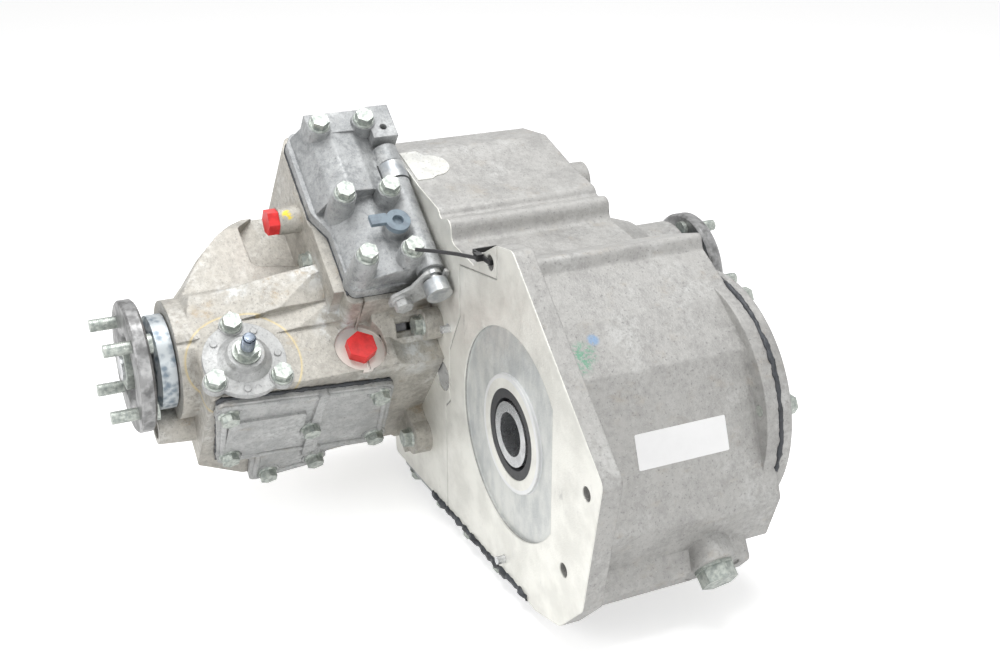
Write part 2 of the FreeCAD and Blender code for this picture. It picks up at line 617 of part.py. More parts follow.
rear_half = about_output((
    (DIFF_BORE_R, DIFF_REAR - DIFF_END_WALL), (DIFF_HOLLOW_R, DIFF_REAR - DIFF_END_WALL),
    (DIFF_HOLLOW_R, DIFF_CENTRE), (DIFF_FLANGE_R, DIFF_CENTRE), (DIFF_FLANGE_R, DIFF_CENTRE + DIFF_PLY),
    (DIFF_R, DIFF_CENTRE + DIFF_PLY), (DIFF_R, DIFF_REAR), (DIFF_TUBE_R, DIFF_REAR),
    (DIFF_TUBE_R, TUBE_END), (DIFF_BORE_R, TUBE_END)))
pin_holes = [Part.makeCylinder(CROSS_PIN_R, 2 * DIFF_R + 2,
                               V(OUTPUT_X, DIFF_CENTRE, OUTPUT_Z) - way * (DIFF_R + 1), way)
             for way in (V(1, 0, 0), V(0, 0, 1))]
export("differential_front_half", carve(front_half, diff_bolt_holes + pin_holes))
export("differential_rear_half", carve(rear_half, diff_bolt_holes + pin_holes))
export("differential_bolts", [flange_bolt(seat, FORWARD, 2 * DIFF_PLY, 3.0, 6.0,
                                          10.0) for seat in diff_bolt_front])


def bevel(teeth, pitch_r, mate_r, clip_r):
    """Straight bevel gear with its cone apex at the origin, opening along +Z."""
    slope = math.atan2(pitch_r, mate_r)
    length = math.hypot(pitch_r, mate_r)
    module = 2.0 * pitch_r / teeth
    tip = slope + math.atan2(0.85 * module, length)
    root = slope - math.atan2(1.2 * module, length)
    wires = []
    for reach in (mate_r * 0.62, mate_r):
        points = []
        for i in range(teeth):
            middle = 2 * math.pi * (i + 0.5) / teeth
            quarter = math.pi / teeth / 2.0
            for angle_from_axis, half in ((root, 1.35), (tip, 0.5), (tip, -0.5), (root, -1.35)):
                r = reach * math.tan(angle_from_axis)
                a = middle - half * quarter * 0.94
                points.append(V(r * math.cos(a), r * math.sin(a), reach))
        wires.append(Part.makePolygon(points + [points[0]]))
    gear = Part.makeLoft(wires, True, True)
    return gear.common(Part.makeCylinder(clip_r, mate_r + 1))


def aimed(shape, way, turn=0.0):
    """Turn a shape built along +Z to point along another direction from the diff's centre."""
    copy = shape.copy()
    copy.rotate(ORIGIN, V(0, 0, 1), turn)
    spin = FreeCAD.Rotation(V(0, 0, 1), way)
    copy.Placement = FreeCAD.Placement(V(OUTPUT_X, DIFF_CENTRE, OUTPUT_Z), spin).multiply(copy.Placement)
    return copy


planet = bevel(PLANET_TEETH, PLANET_PITCH_R, SIDE_PITCH_R, PLANET_PITCH_R + 6)
planet = planet.cut(Part.makeCylinder(CROSS_PIN_R + SHAFT_GAP, SIDE_PITCH_R + 2))
planets = []
for way in (V(1, 0, 0), V(-1, 0, 0), V(0, 0, 1), V(0, 0, -1)):
    gear = aimed(planet, way)
    planets.append(gear)
side_gear = bevel(SIDE_GEAR_TEETH, SIDE_PITCH_R, PLANET_PITCH_R, SIDE_PITCH_R + 5)
side_hub = Part.makeCylinder(24, DIFF_REAR - DIFF_END_WALL - DIFF_CENTRE - PLANET_PITCH_R - 0.4,
                             V(0, 0, PLANET_PITCH_R))
side_gear = join([side_gear, side_hub]).cut(Part.makeCylinder(OUTPUT_SHAFT_R, 60))
cross_pins = []
for way in (V(1, 0, 0), V(0, 0, 1)):
    cross_pins.append(Part.makeCylinder(CROSS_PIN_R, 2 * DIFF_R - 1,
                                        V(OUTPUT_X, DIFF_CENTRE, OUTPUT_Z) - way * (DIFF_R - 0.5), way))
export("cross_pins", cross_pins[0].fuse(cross_pins[1]).removeSplitter())
export("planet_pinions", planets)
export("front_side_gear", aimed(side_gear, FORWARD))
export("rear_side_gear", aimed(side_gear, REARWARD))
differential_cups = [bearing_cup(DIFF_BEARING_R, DIFF_BEARING_FRONT_Y, OUTPUT_X, OUTPUT_Z, 1),
                     bearing_cup(DIFF_BEARING_R, DIFF_BEARING_REAR_Y, OUTPUT_X, OUTPUT_Z, -1)]
export("differential_bearing_cones", [bearing_cone(DIFF_BEARING_R, DIFF_TUBE_R, DIFF_BEARING_FRONT_Y,
                                                   OUTPUT_X, OUTPUT_Z, 1),
                                      bearing_cone(DIFF_BEARING_R, DIFF_TUBE_R, DIFF_BEARING_REAR_Y,
                                                   OUTPUT_X, OUTPUT_Z, -1)])

# ---- output shafts and flanges ------------------------------------------------
SIDE_HUB_REACH = PLANET_PITCH_R
BALL_BEARING_R = 36.0
BALL_BEARING_WIDTH = 16.0
FRONT_BEARING_Y = -188.0
REAR_BEARING_Y = 236.0
HUB_NECK_R = 24.0
SEAL_OUTER_R = 34.0
FRONT_SEAL_Y = -204.5
REAR_SEAL_Y = 254.0
SHIELD_R = 38.0
SHIELD_WALL = 1.5
LOCK_HUB_Y = (-116.0, -98.0)
LOCK_SLEEVE_R = 38.0
NUT_R = 18.0


def flange_end(face, inward, neck_end, stud_turn):
    """Propshaft flange and the parts on it; inward is +1 or -1 along Y from its face."""
    back = face + inward * FLANGE_DISC
    hub_end = face + inward * 33.0
    disc = about_output(((OUTPUT_SHAFT_R, face + inward * 7), (SPIGOT_R - 3, face + inward * 7),
                         (SPIGOT_R, face + inward * 2), (SPIGOT_R + 4, face), (FLANGE_R - 1.5, face),
                         (FLANGE_R, face + inward * 1.5), (FLANGE_R, back - inward * 2),
                         (FLANGE_R - 2, back), (HUB_NECK_R + 4, back), (HUB_NECK_R, back + inward * 3),
                         (HUB_NECK_R, hub_end), (OUTPUT_SHAFT_R, hub_end)))
    stud_angles = [stud_turn + 90 * i for i in range(4)]
    seats = ring_of(FLANGE_PCD / 2, stud_angles, face, OUTPUT_X, OUTPUT_Z)
    holes = [rod(STUD_SHANK_R, min(face, back) - 1, max(face, back) + 1, p.x, p.z) for p in seats]
    tip = face - inward * STUD_LENGTH
    head = back + inward * 4.0
    studs = []
    for p in seats:
        stem = rod(FLANGE_STUD_R, min(tip, face), max(tip, face), p.x, p.z)
        shank = rod(STUD_SHANK_R, min(face, back), max(face, back), p.x, p.z)
        cap = rod(FLANGE_STUD_R + 3, min(back, head), max(back, head), p.x, p.z)
        studs.append(join([stem, shank, cap]))
    nut_points = [(OUTPUT_X + NUT_R * math.cos(math.radians(60 * i)),
                   OUTPUT_Z + NUT_R * math.sin(math.radians(60 * i)))
                  for i in range(6)]
    nut_low, nut_high = sorted((face - inward * 3.0, face + inward * 7.0))
    nut = prism_y(nut_points, 1.0, nut_low, nut_high).cut(rod(10, nut_low - 1, nut_high + 1, OUTPUT_X,
                                                              OUTPUT_Z))
    rim = head + inward * 0.5
    shield_end = neck_end - inward * 1.0
    shield = about_output(((HUB_NECK_R, rim), (HUB_NECK_R, rim + inward * SHIELD_WALL),
                           (SHIELD_R - 6, rim + inward * SHIELD_WALL),
                           (SHIELD_R - SHIELD_WALL, rim + inward * 4),
                           (SHIELD_R - SHIELD_WALL, shield_end), (SHIELD_R, shield_end),
                           (SHIELD_R, rim + inward * 3), (SHIELD_R - 4, rim)))
    return carve(disc, holes), studs, nut, shield


front_parts = flange_end(FRONT_FACE_Y, 1, NECK_END, FRONT_STUD_TURN)
rear_parts = flange_end(REAR_FACE_Y, -1, REAR_NECK_END, REAR_STUD_TURN)
for side, parts in (("front", front_parts), ("rear", rear_parts)):
    disc, studs, nut, shield = parts
    export("%s_flange" % side, disc)
    export("%s_flange_fasteners" % side, studs + [nut])
    export("%s_mud_shield" % side, shield)
front_shaft = rod(OUTPUT_SHAFT_R, FRONT_FACE_Y + 7, DIFF_CENTRE - SIDE_HUB_REACH, OUTPUT_X, OUTPUT_Z)
front_shaft = join([front_shaft, rod(10, FRONT_FACE_Y - 5, FRONT_FACE_Y + 8, OUTPUT_X, OUTPUT_Z),
                    splined(LOCK_DOG_R, SPLINE_DEPTH, SPLINES, LOCK_HUB_Y[0], LOCK_HUB_Y[1], 0)])
export("front_output_shaft", front_shaft)
rear_shaft = rod(OUTPUT_SHAFT_R, DIFF_CENTRE + SIDE_HUB_REACH, REAR_FACE_Y - 7, OUTPUT_X, OUTPUT_Z)
rear_shaft = join([rear_shaft, rod(10, REAR_FACE_Y - 8, REAR_FACE_Y + 5, OUTPUT_X, OUTPUT_Z)])
export("rear_output_shaft", rear_shaft)


def ball_bearing(start):
    """Deep-groove bearing: outer ring with balls, and the inner ring."""
    end = start + BALL_BEARING_WIDTH
    inner_r = OUTPUT_SHAFT_R + 6.0
    ball_pitch = (inner_r + BALL_BEARING_R - 5.5) / 2.0
    ball_r = (BALL_BEARING_R - 5.5 - inner_r) / 2.0 - 0.3
    outer = [tube(BALL_BEARING_R, BALL_BEARING_R - 5.5, start, end, OUTPUT_X, OUTPUT_Z)]
    for p in ring_of(ball_pitch, range(0, 360, 40), (start + end) / 2.0, OUTPUT_X, OUTPUT_Z):
        outer.append(Part.makeSphere(ball_r, p))
    inner = tube(inner_r, OUTPUT_SHAFT_R, start, end, OUTPUT_X, OUTPUT_Z)
    return outer, inner


front_outer, front_inner = ball_bearing(FRONT_BEARING_Y)
rear_outer, rear_inner = ball_bearing(REAR_BEARING_Y)
export("output_bearing_outer_races", front_outer + rear_outer)
export("front_bearing_inner_race", front_inner)
export("rear_bearing_inner_race", rear_inner)
front_seal = lip_seal(SEAL_OUTER_R, HUB_NECK_R + 0.3, FRONT_SEAL_Y, SEAL_WIDTH, OUTPUT_X, OUTPUT_Z)
rear_seal = lip_seal(SEAL_OUTER_R, HUB_NECK_R + 0.3, REAR_SEAL_Y, SEAL_WIDTH, OUTPUT_X, OUTPUT_Z)
SPEEDO_Y = 200.0
export("speedometer_gear", splined(24, 2.5, 18, SPEEDO_Y, SPEEDO_Y + 14, OUTPUT_SHAFT_R))

# ---- selector gear in the cases -----------------------------------------------
lock_sleeve = rod(LOCK_SLEEVE_R, LOCK_HUB_Y[0] - 2, LOCK_HUB_Y[1] - 2, OUTPUT_X, OUTPUT_Z)
lock_sleeve = lock_sleeve.cut(splined(LOCK_DOG_R + 0.3, SPLINE_DEPTH, SPLINES, LOCK_HUB_Y[0] - 3,
                                      LOCK_HUB_Y[1], 0))
LOCK_SLOT = 7.0
lock_slot_y = (LOCK_HUB_Y[0] + LOCK_HUB_Y[1] - 4 - LOCK_SLOT) / 2.0
lock_sleeve = lock_sleeve.cut(tube(LOCK_SLEEVE_R + 1, LOCK_SLEEVE_R - 4, lock_slot_y,
                                   lock_slot_y + LOCK_SLOT, OUTPUT_X, OUTPUT_Z))
export("diff_lock_sleeve", lock_sleeve)
FORK_PLAY = 0.35


def fork(x, z, shaft_r, slot_y, slot_width, sleeve_r, slot_r, spread, arm, hub_r, hub_length):
    """Selector fork: a hub on its shaft and a claw in the sleeve's groove."""
    start = slot_y + FORK_PLAY
    end = slot_y + slot_width - FORK_PLAY
    toward = math.atan2(z - OUTPUT_Z, x - OUTPUT_X)
    outer = sleeve_r + 7.0
    claw = tube(outer, slot_r + FORK_PLAY, start, end, OUTPUT_X, OUTPUT_Z)
    reach = 2 * outer
    a = toward + math.radians(spread)
    b = toward - math.radians(spread)
    wedge = Part.Face(Part.makePolygon([
        V(OUTPUT_X, start - 1, OUTPUT_Z),
        V(OUTPUT_X + reach * math.cos(b), start - 1, OUTPUT_Z + reach * math.sin(b)),
        V(OUTPUT_X + reach * 1.4 * math.cos(toward), start - 1, OUTPUT_Z + reach * 1.4 * math.sin(toward)),
        V(OUTPUT_X + reach * math.cos(a), start - 1, OUTPUT_Z + reach * math.sin(a)),
        V(OUTPUT_X, start - 1, OUTPUT_Z)])).extrude(V(0, end - start + 2, 0))
    claw = claw.common(wedge)
    side = V(-math.sin(toward), 0, math.cos(toward)) * arm
    near = V(OUTPUT_X + (sleeve_r + 1) * math.cos(toward), start,
             OUTPUT_Z + (sleeve_r + 1) * math.sin(toward))
    far = V(x, start, z)
    bar = Part.Face(Part.makePolygon([near - side, far - side, far + side, near + side, near - side]))
    bar = bar.extrude(V(0, end - start, 0))
    middle = (start + end) / 2.0
    hub = rod(hub_r, middle - hub_length / 2.0, middle + hub_length / 2.0, x, z)
    whole = join([claw, bar, hub])
    return whole.cut(rod(shaft_r, middle - hub_length, middle + hub_length, x, z))


LOCK_X, LOCK_Z = place(LOCK_SHAFT_U, LOCK_SHAFT_N)
export("high_low_fork", fork(SELECTOR_X, SELECTOR_Z, SELECTOR_R, slot_start, FORK_SLOT, SLEEVE_R,
                             FORK_SLOT_R, 62, 6, 11.5, 26))
export("diff_lock_fork", fork(LOCK_X, LOCK_Z, LOCK_SHAFT_R, lock_slot_y, LOCK_SLOT, LOCK_SLEEVE_R,
                              LOCK_SLEEVE_R - 4, 58, 5, 11, 20))

SELECTOR_ENDS = (-58.0, 150.0)
JAW_GAP = 11.0
JAW_OFFSET = 0.6            # the slot sits a little behind the finger so it clears at both ends
JAW_WALL = 5.0
FINGER_R = 4.0


def jaw(u, n, y, shaft_r, width, low, high, gap):
    """Block on a selector shaft with a slot across it for the finger."""
    block = box((u - width, y - gap / 2 - JAW_WALL, low), (u + width, y + gap / 2 + JAW_WALL, high))
    slot = box((u - width - 1, y - gap / 2, n + shaft_r - 1), (u + width + 1, y + gap / 2, high + 1))
    return lean(block.cut(slot))


SELECTOR_U = SELECTOR_X * math.cos(TILT) - SELECTOR_Z * math.sin(TILT)
SELECTOR_N = SELECTOR_X * math.sin(TILT) + SELECTOR_Z * math.cos(TILT)
selector_jaw = jaw(SELECTOR_U, SELECTOR_N, CROSS_Y + JAW_OFFSET, SELECTOR_R, 8, SELECTOR_N - 9,
                   SELECTOR_N + 16, JAW_GAP)
selector_shaft = rod(SELECTOR_R, SELECTOR_ENDS[0], SELECTOR_ENDS[1], SELECTOR_X, SELECTOR_Z)
export("high_low_selector_shaft", selector_shaft)
export("high_low_selector_jaw", selector_jaw.cut(selector_shaft))
LOCK_PIN_ARM = 14.0
LOCK_PIN_R = 3.0
lock_swing = math.asin(LOCK_TRAVEL / 2.0 / LOCK_PIN_ARM)
lock_jaw_y = SPINDLE_Y - LOCK_TRAVEL / 2.0
lock_shaft = rod(LOCK_SHAFT_R, -216, -88, LOCK_X, LOCK_Z)
lock_jaw = jaw(LOCK_SHAFT_U - 3, LOCK_SHAFT_N, lock_jaw_y, LOCK_SHAFT_R, 8.5, LOCK_SHAFT_N - 8,
               LOCK_SHAFT_N + 14, 7.6)
export("diff_lock_shaft", lock_shaft)
export("diff_lock_jaw", lock_jaw.cut(lock_shaft))
SPINDLE_TOP = BLOCK_TOP_N + 32.0
FINGER_N = LOCK_SHAFT_N + LOCK_SHAFT_R
pin_u = SPINDLE_U - LOCK_PIN_ARM * math.cos(lock_swing)
pin_y = SPINDLE_Y - LOCK_PIN_ARM * math.sin(lock_swing)
crank = join([post(8, FINGER_N + 12.5, FINGER_N + 20, SPINDLE_U, SPINDLE_Y),
              post(5, FINGER_N + 12.5, FINGER_N + 20, pin_u, pin_y),
              post(LOCK_PIN_R, FINGER_N + 2, FINGER_N + 14, pin_u, pin_y),
              post(SPINDLE_R, FINGER_N + 12.5, SPINDLE_TOP, SPINDLE_U, SPINDLE_Y)])
arm_way = V(pin_u - SPINDLE_U, pin_y - SPINDLE_Y, 0)
arm_side = V(-arm_way.y, arm_way.x, 0).normalize() * 5
arm_base = V(SPINDLE_U, SPINDLE_Y, FINGER_N + 12.5)
arm_plate = Part.Face(Part.makePolygon([arm_base - arm_side, arm_base + arm_way - arm_side,
                                        arm_base + arm_way + arm_side, arm_base + arm_side,
                                        arm_base - arm_side])).extrude(V(0, 0, 7.5))
export("diff_lock_spindle", lean(join([crank, arm_plate])))

# ---- front output housing -----------------------------------------------------
BELL_WALL = 7.0
DIFF_CLEAR_R = 60.5         # room round the differential's bolted rim
DIFF_BODY_R = 48.0
DIFF_RIM_Y = -47.0
BELL_BACK_R = 112.0
BLOCK_FRONT = -192.0
BLOCK_LOW_N = -188.0
BLOCK_LEFT_U = -166.0
RIDGE_U = -198.0            # ridge between the bell and the selector block
TURRET_FRONT = -84.0
SPOTFACE_R = 44.5
PLUG_SPOT_R = 21.0
PLUG_U, PLUG_Y, PLUG_N = -124.6, -66.0, -63.0
PLUG_R = 8.0
SELECTOR_NOSE = -104.0
LOCK_TUBE_R = 14.5
LOCK_TUBE_END = -220.5
WINDOW_YN = ((-168, -92), (-64, -100), (-52, -158), (-82, -180), (-140, -186), (-156, -150))
UPPER_BOLT = (-209.0, TURRET_FRONT, -56.0)

OUTPUT_N = OUTPUT_X * math.sin(TILT) + OUTPUT_Z * math.cos(TILT)
bell = about_output(((0, 0), (BELL_BACK_R, 0), (BELL_BACK_R, -HOUSING_FLANGE), (BELL_BACK_R - 4, -18),
                     (FRONT_BELL_R, -FRONT_BELL_LENGTH), (104, -131), (93, -148), (76, -167), (56, -184),
                     (NECK_R, -192), (NECK_R, NECK_END), (0, NECK_END)))
bell = bell.cut(lean(box((BLOCK_U, -260, -300), (BLOCK_U + 200, 10, 100))))
shelf = prism_x(((BLOCK_FRONT - 30, BLOCK_TOP_N - 7), (BLOCK_FRONT, BLOCK_TOP_N - 7),
                 (-182, BLOCK_TOP_N - 2), (-40, BLOCK_TOP_N - 2),
                 (-30, PLUG_N), (20, PLUG_N), (20, 100), (BLOCK_FRONT - 30, 100)), 4, BLOCK_LEFT_U + 8,
                 BLOCK_U + 60)
bell = bell.cut(lean(shelf))
bell_top = prism_y(((-340, -100), (-283, -89), (-262, -72), (RIDGE_U - 6, -70), (RIDGE_U, -60),
                    (BLOCK_U, -60), (BLOCK_U, 60), (-340, 60)),
                   6, -260, TURRET_FRONT)
bell = bell.cut(lean(bell_top)).cut(lean(box((-340, TURRET_FRONT - 1, TOP_GASKET_N), (-100, 20, 100))))
wing_pocket = prism_z(((-284, TURRET_FRONT + 1), (-284, -104), (-262, -128), (-222, -126),
                       (-214, TURRET_FRONT + 1)), 8, -88, 0)
bell = bell.cut(lean(wing_pocket))
hump = rod(DIFF_CLEAR_R + 4, DIFF_RIM_Y - 6, -1, OUTPUT_X,
           OUTPUT_Z).cut(lean(box((-320, -60, -200), (-150, 1, 40))))
hump = hump.cut(lean(box((-320, -60, -300), (0, 1, -90))))
block = prism_x(((BLOCK_FRONT, BLOCK_LOW_N + 16), (BLOCK_FRONT, BLOCK_TOP_N - 7), (-182, BLOCK_TOP_N - 2),
                 (-40, BLOCK_TOP_N - 2), (-30, PLUG_N), (0, PLUG_N), (0, BLOCK_LOW_N),
                 (-150, BLOCK_LOW_N - 18)),
                6, BLOCK_LEFT_U, BLOCK_U)
shoulder = prism_x(((-187, BLOCK_TOP_N - 14), (-120, BLOCK_TOP_N + 6), (-60, BLOCK_TOP_N + 18),
                    (-60, -110), (-187, -110)),
                   2, RIDGE_U, RIDGE_U + 30)
flank = prism_y(((RIDGE_U - 10, -110), (RIDGE_U - 10, BLOCK_TOP_N - 12), (RIDGE_U, BLOCK_TOP_N + 40),
                 (RIDGE_U + 8, BLOCK_TOP_N + 12),
                 (BLOCK_U - 30, BLOCK_TOP_N - 4), (BLOCK_U - 30, -110)), 3, -187, -60)
shoulder = shoulder.common(flank).fuse(prism_x(((-187, BLOCK_TOP_N - 16), (-130, BLOCK_TOP_N - 2),
                                                (-60, BLOCK_TOP_N + 8), (-60, -110),
                                               (-187, -110)), 2, RIDGE_U + 6, RIDGE_U + 48).common(flank))
turret = prism_z(((-312, TURRET_FRONT + 4), (-300, TURRET_FRONT - 2), (-225, TURRET_FRONT - 2),
                  (-205, TURRET_FRONT + 8),
                  (-146, TURRET_FRONT + 8), (-146, 0), (-250, 0), (-312, -34)), 6, -110, TOP_GASKET_N)
lower_lug = rod(15, -HOUSING_FLANGE, 0, FRONT_BOLTS[5].x, FRONT_BOLTS[5].z)
lower_web = lean(box((BLOCK_U - 10, -HOUSING_FLANGE, -186), (BLOCK_U + 22, 0, -146)))
upper_lug = rod(13, -HOUSING_FLANGE, 0, FRONT_BOLTS[6].x, FRONT_BOLTS[6].z)
lock_tube = Part.makeCone(LOCK_TUBE_R, LOCK_TUBE_R + 4, abs(LOCK_TUBE_END) - 174,
                          V(LOCK_X, LOCK_TUBE_END, LOCK_Z), ALONG_Y)
nose = rod(11.5, SELECTOR_NOSE, -60, SELECTOR_X, SELECTOR_Z)
upper_bolt_boss = lean(box((UPPER_BOLT[0] - 9, TURRET_FRONT, UPPER_BOLT[2] - 9),
                           (UPPER_BOLT[0] + 9, -60, UPPER_BOLT[2] + 9)))
housing = join([bell, lean(block), lean(shoulder), lean(turret), hump, lower_lug, lower_web, upper_lug,
                lock_tube, nose, upper_bolt_boss])
inner_bell = about_output(((0, 1), (FRONT_OPENING_R, 1), (FRONT_OPENING_R, -10), (BELL_BACK_R - 9, -18),
                           (FRONT_BELL_R - BELL_WALL - 2, DIFF_BEARING_FRONT_Y + BEARING_WIDTH + 2),
                           (DIFF_BEARING_R, DIFF_BEARING_FRONT_Y + BEARING_WIDTH + 2),
                           (DIFF_BEARING_R, DIFF_BEARING_FRONT_Y),
                           (LOCK_SLEEVE_R + 9, DIFF_BEARING_FRONT_Y),
                           (LOCK_SLEEVE_R + 9, -134), (30, -140), (30, NECK_START + BALL_BEARING_WIDTH),
                           (BALL_BEARING_R, NECK_START + BALL_BEARING_WIDTH), (BALL_BEARING_R, NECK_START),
                           (SEAL_OUTER_R - 3, NECK_START), (SEAL_OUTER_R - 3, FRONT_SEAL_Y + SEAL_WIDTH),
                           (SEAL_OUTER_R, FRONT_SEAL_Y + SEAL_WIDTH), (SEAL_OUTER_R, NECK_END - 1),
                           (0, NECK_END - 1)))
inner_bell = inner_bell.cut(lean(box((BLOCK_U - 8, -260, -300), (BLOCK_U + 100, 10, 100))))
inner_bell = inner_bell.cut(lean(box((BLOCK_LEFT_U, -62, OUTPUT_N + 36), (BLOCK_U + 60, 10, 100))))
rim_room = rod(DIFF_CLEAR_R, DIFF_RIM_Y, 1, OUTPUT_X, OUTPUT_Z)
body_room = rod(DIFF_BODY_R, DIFF_BEARING_FRONT_Y + BEARING_WIDTH, 1, OUTPUT_X, OUTPUT_Z)
lock_room = lean(prism_x(((-182, -84), (-87, -84), (-87, -176), (-182, -170)), 8, -158, BLOCK_U - 10))
window = lean(prism_x(WINDOW_YN, 8, BLOCK_U - 12, BLOCK_U + 1))
lock_bore = rod(LOCK_SHAFT_R + SHAFT_GAP, -218, -70, LOCK_X, LOCK_Z)
open_end = rod(10, LOCK_TUBE_END - 1, -214, LOCK_X, LOCK_Z)
selector_bore = rod(SELECTOR_R + SHAFT_GAP, SELECTOR_NOSE - 1, 1, SELECTOR_X, SELECTOR_Z)
selector_room = lean(box((SELECTOR_U - 24, -66, SELECTOR_N - 14), (SELECTOR_U + 24, 1, TOP_GASKET_N + 1)))
housing_cuts = [
    inner_bell, rim_room, body_room, lock_room, window, lock_bore, open_end, selector_bore, selector_room,
    lean(post(SPOTFACE_R, BLOCK_TOP_N, BLOCK_TOP_N + 60, SPINDLE_U, SPINDLE_Y)),
    lean(post(SPINDLE_R + 9, -140, BLOCK_TOP_N + 1, SPINDLE_U, SPINDLE_Y)),
    lean(post(PLUG_SPOT_R, PLUG_N, PLUG_N + 40, PLUG_U, PLUG_Y)),
    lean(post(PLUG_R, PLUG_N - 13, PLUG_N + 1, PLUG_U, PLUG_Y)),
    rod(M8_HEAD_R + 1.2, -110, TURRET_FRONT, *place(UPPER_BOLT[0], UPPER_BOLT[2])),
    rod(DOWEL_HOLE_R, -8, 1, *DOWEL_HOLES[0]),
    rod(PLUG_R, SELECTOR_NOSE - 1, SELECTOR_NOSE + 16, SELECTOR_X, SELECTOR_Z),
]
upper_seat = leaned(*UPPER_BOLT)
front_seats = FRONT_BOLTS + [upper_seat]
for seat in front_seats:
    housing_cuts.append(bolt_hole(seat, FORWARD))
for seat in FRONT_BOLTS:
    housing_cuts.append(rod(M8_HEAD_R + 1.5, seat.y - 20, seat.y, seat.x, seat.z))
for seat in SIDE_BOLTS:
    housing_cuts.append(bolt_hole(seat, OUT_U))
for seat in FINGER_BOLTS + TOP_BOLTS:
    housing_cuts.append(bolt_hole(seat, UP_N, 60 if seat in TOP_BOLTS else BOLT_GRIP))
front_housing = carve(housing, housing_cuts)
solids = sorted(front_housing.Solids, key=lambda s: s.Volume)
export("front_output_housing", solids[-1])
front_bolts = [flange_bolt(seat, FORWARD) for seat in front_seats]


def hex_plug(seat, outward, across, cap, depth):
    """Moulded hexagon plug with a stem in its tapped hole."""
    corner = across / math.sqrt(3)
    points = [(corner * math.cos(math.radians(60 * i)),
               corner * math.sin(math.radians(60 * i))) for i in range(6)]
    plug = join([prism_z(points, 1.2, 0, cap), Part.makeCylinder(PLUG_R, depth + 0.5, V(0, 0, -depth))])
    plug.Placement = FreeCAD.Placement(seat, FreeCAD.Rotation(V(0, 0, 1), outward))
    return plug


export("transit_plugs", [hex_plug(leaned(PLUG_U, PLUG_Y, PLUG_N), UP_N, 22, 9, 12),
                         hex_plug(V(SELECTOR_X, SELECTOR_NOSE, SELECTOR_Z), FORWARD, 19, 9, 12)])

# ---- side cover ---------------------------------------------------------------
SIDE_OUTLINE = ((-189, -60), (-41, -81), (-30, -186), (-82, -180), (-84, -204), (-146, -214),
                (-150, -166), (-178, -166))
side_holes = [bolt_hole(seat, OUT_U) for seat in SIDE_BOLTS]
side_low = BLOCK_U + GASKET
side_plate = prism_x(SIDE_OUTLINE, 8, side_low, side_low + SIDE_PLATE - 1)
for y, n in SIDE_BOLTS_YN:
    side_plate = side_plate.fuse(spoke(10.5, side_low, SIDE_SEAT_U, y, n))
rib = prism_x(((-106, -72), (-98, -72), (-98, -178), (-106, -178)), 2, side_low, side_low + SIDE_PLATE + 2)
panel = prism_x(((-176, -92), (-112, -98), (-112, -156), (-176, -152)), 6, side_low + SIDE_PLATE - 1,
                side_low + SIDE_PLATE + 1.5)
side_cover = join([side_plate, rib, panel])
for y, n in SIDE_BOLTS_YN:
    side_cover = side_cover.cut(spoke(M8_HEAD_R + 1, SIDE_SEAT_U, SIDE_SEAT_U + 10, y, n))
side_cover = lean(side_cover)
side_gasket = prism_x(SIDE_OUTLINE, 8, BLOCK_U, side_low).cut(prism_x(WINDOW_YN, 8, BLOCK_U - 1,
        side_low + 1))
export("side_cover", carve(side_cover, side_holes))
side_gasket = carve(lean(side_gasket), side_holes)
side_bolts = [flange_bolt(seat, OUT_U) for seat in SIDE_BOLTS]

# ---- diff lock cover ----------------------------------------------------------
finger_holes = [bolt_hole(seat, UP_N) for seat in FINGER_BOLTS]
cover_disc = post(FINGER_BOLT_R + 1, BLOCK_TOP_N, FINGER_SEAT_N - 1, SPINDLE_U, SPINDLE_Y)
for a in FINGER_ANGLES:
    ear_u = SPINDLE_U + FINGER_BOLT_R * math.cos(math.radians(a))
    ear_y = SPINDLE_Y + FINGER_BOLT_R * math.sin(math.radians(a))
    cover_disc = cover_disc.fuse(post(9.5, BLOCK_TOP_N, FINGER_SEAT_N, ear_u, ear_y))
dome_points = ((0, FINGER_SEAT_N - 1.5), (21, FINGER_SEAT_N - 1.5), (21, FINGER_SEAT_N - 1),
               (16, FINGER_SEAT_N + 4), (14, FINGER_SEAT_N + 9), (0, FINGER_SEAT_N + 9))
wire = Part.makePolygon([V(SPINDLE_U + r, SPINDLE_Y, n) for r, n in dome_points + dome_points[:1]])
dome = Part.Face(wire).revolve(V(SPINDLE_U, SPINDLE_Y, 0), V(0, 0, 1), 360)
pips = [post(2.8, FINGER_SEAT_N - 1.5, FINGER_SEAT_N, SPINDLE_U + 26 * math.cos(math.radians(a)),
             SPINDLE_Y + 26 * math.sin(math.radians(a)))
        for a in (90, 150, 230, 350)]
for a in FINGER_ANGLES:
    ear_u = SPINDLE_U + FINGER_BOLT_R * math.cos(math.radians(a))
    ear_y = SPINDLE_Y + FINGER_BOLT_R * math.sin(math.radians(a))
    cover_disc = cover_disc.cut(post(9.2, FINGER_SEAT_N, FINGER_SEAT_N + 6, ear_u, ear_y))
finger_cover = lean(join([cover_disc, dome] + pips))
spindle_bore = lean(post(SPINDLE_R + SHAFT_GAP, BLOCK_TOP_N - 1, FINGER_SEAT_N + 20, SPINDLE_U, SPINDLE_Y))
export("diff_lock_cover", carve(finger_cover, finger_holes + [spindle_bore]))
finger_bolts = [flange_bolt(seat, UP_N) for seat in FINGER_BOLTS]
NUT_SEAT_N = FINGER_SEAT_N + 9.3
spindle_nut = prism_z([(SPINDLE_U + 9.5 * math.cos(math.radians(60 * i)),
                        SPINDLE_Y + 9.5 * math.sin(math.radians(60 * i))) for i in range(6)],
                      0.8, NUT_SEAT_N + 1.5, NUT_SEAT_N + 8)
spindle_nut = join([spindle_nut, post(11, NUT_SEAT_N, NUT_SEAT_N + 1.6, SPINDLE_U, SPINDLE_Y)])
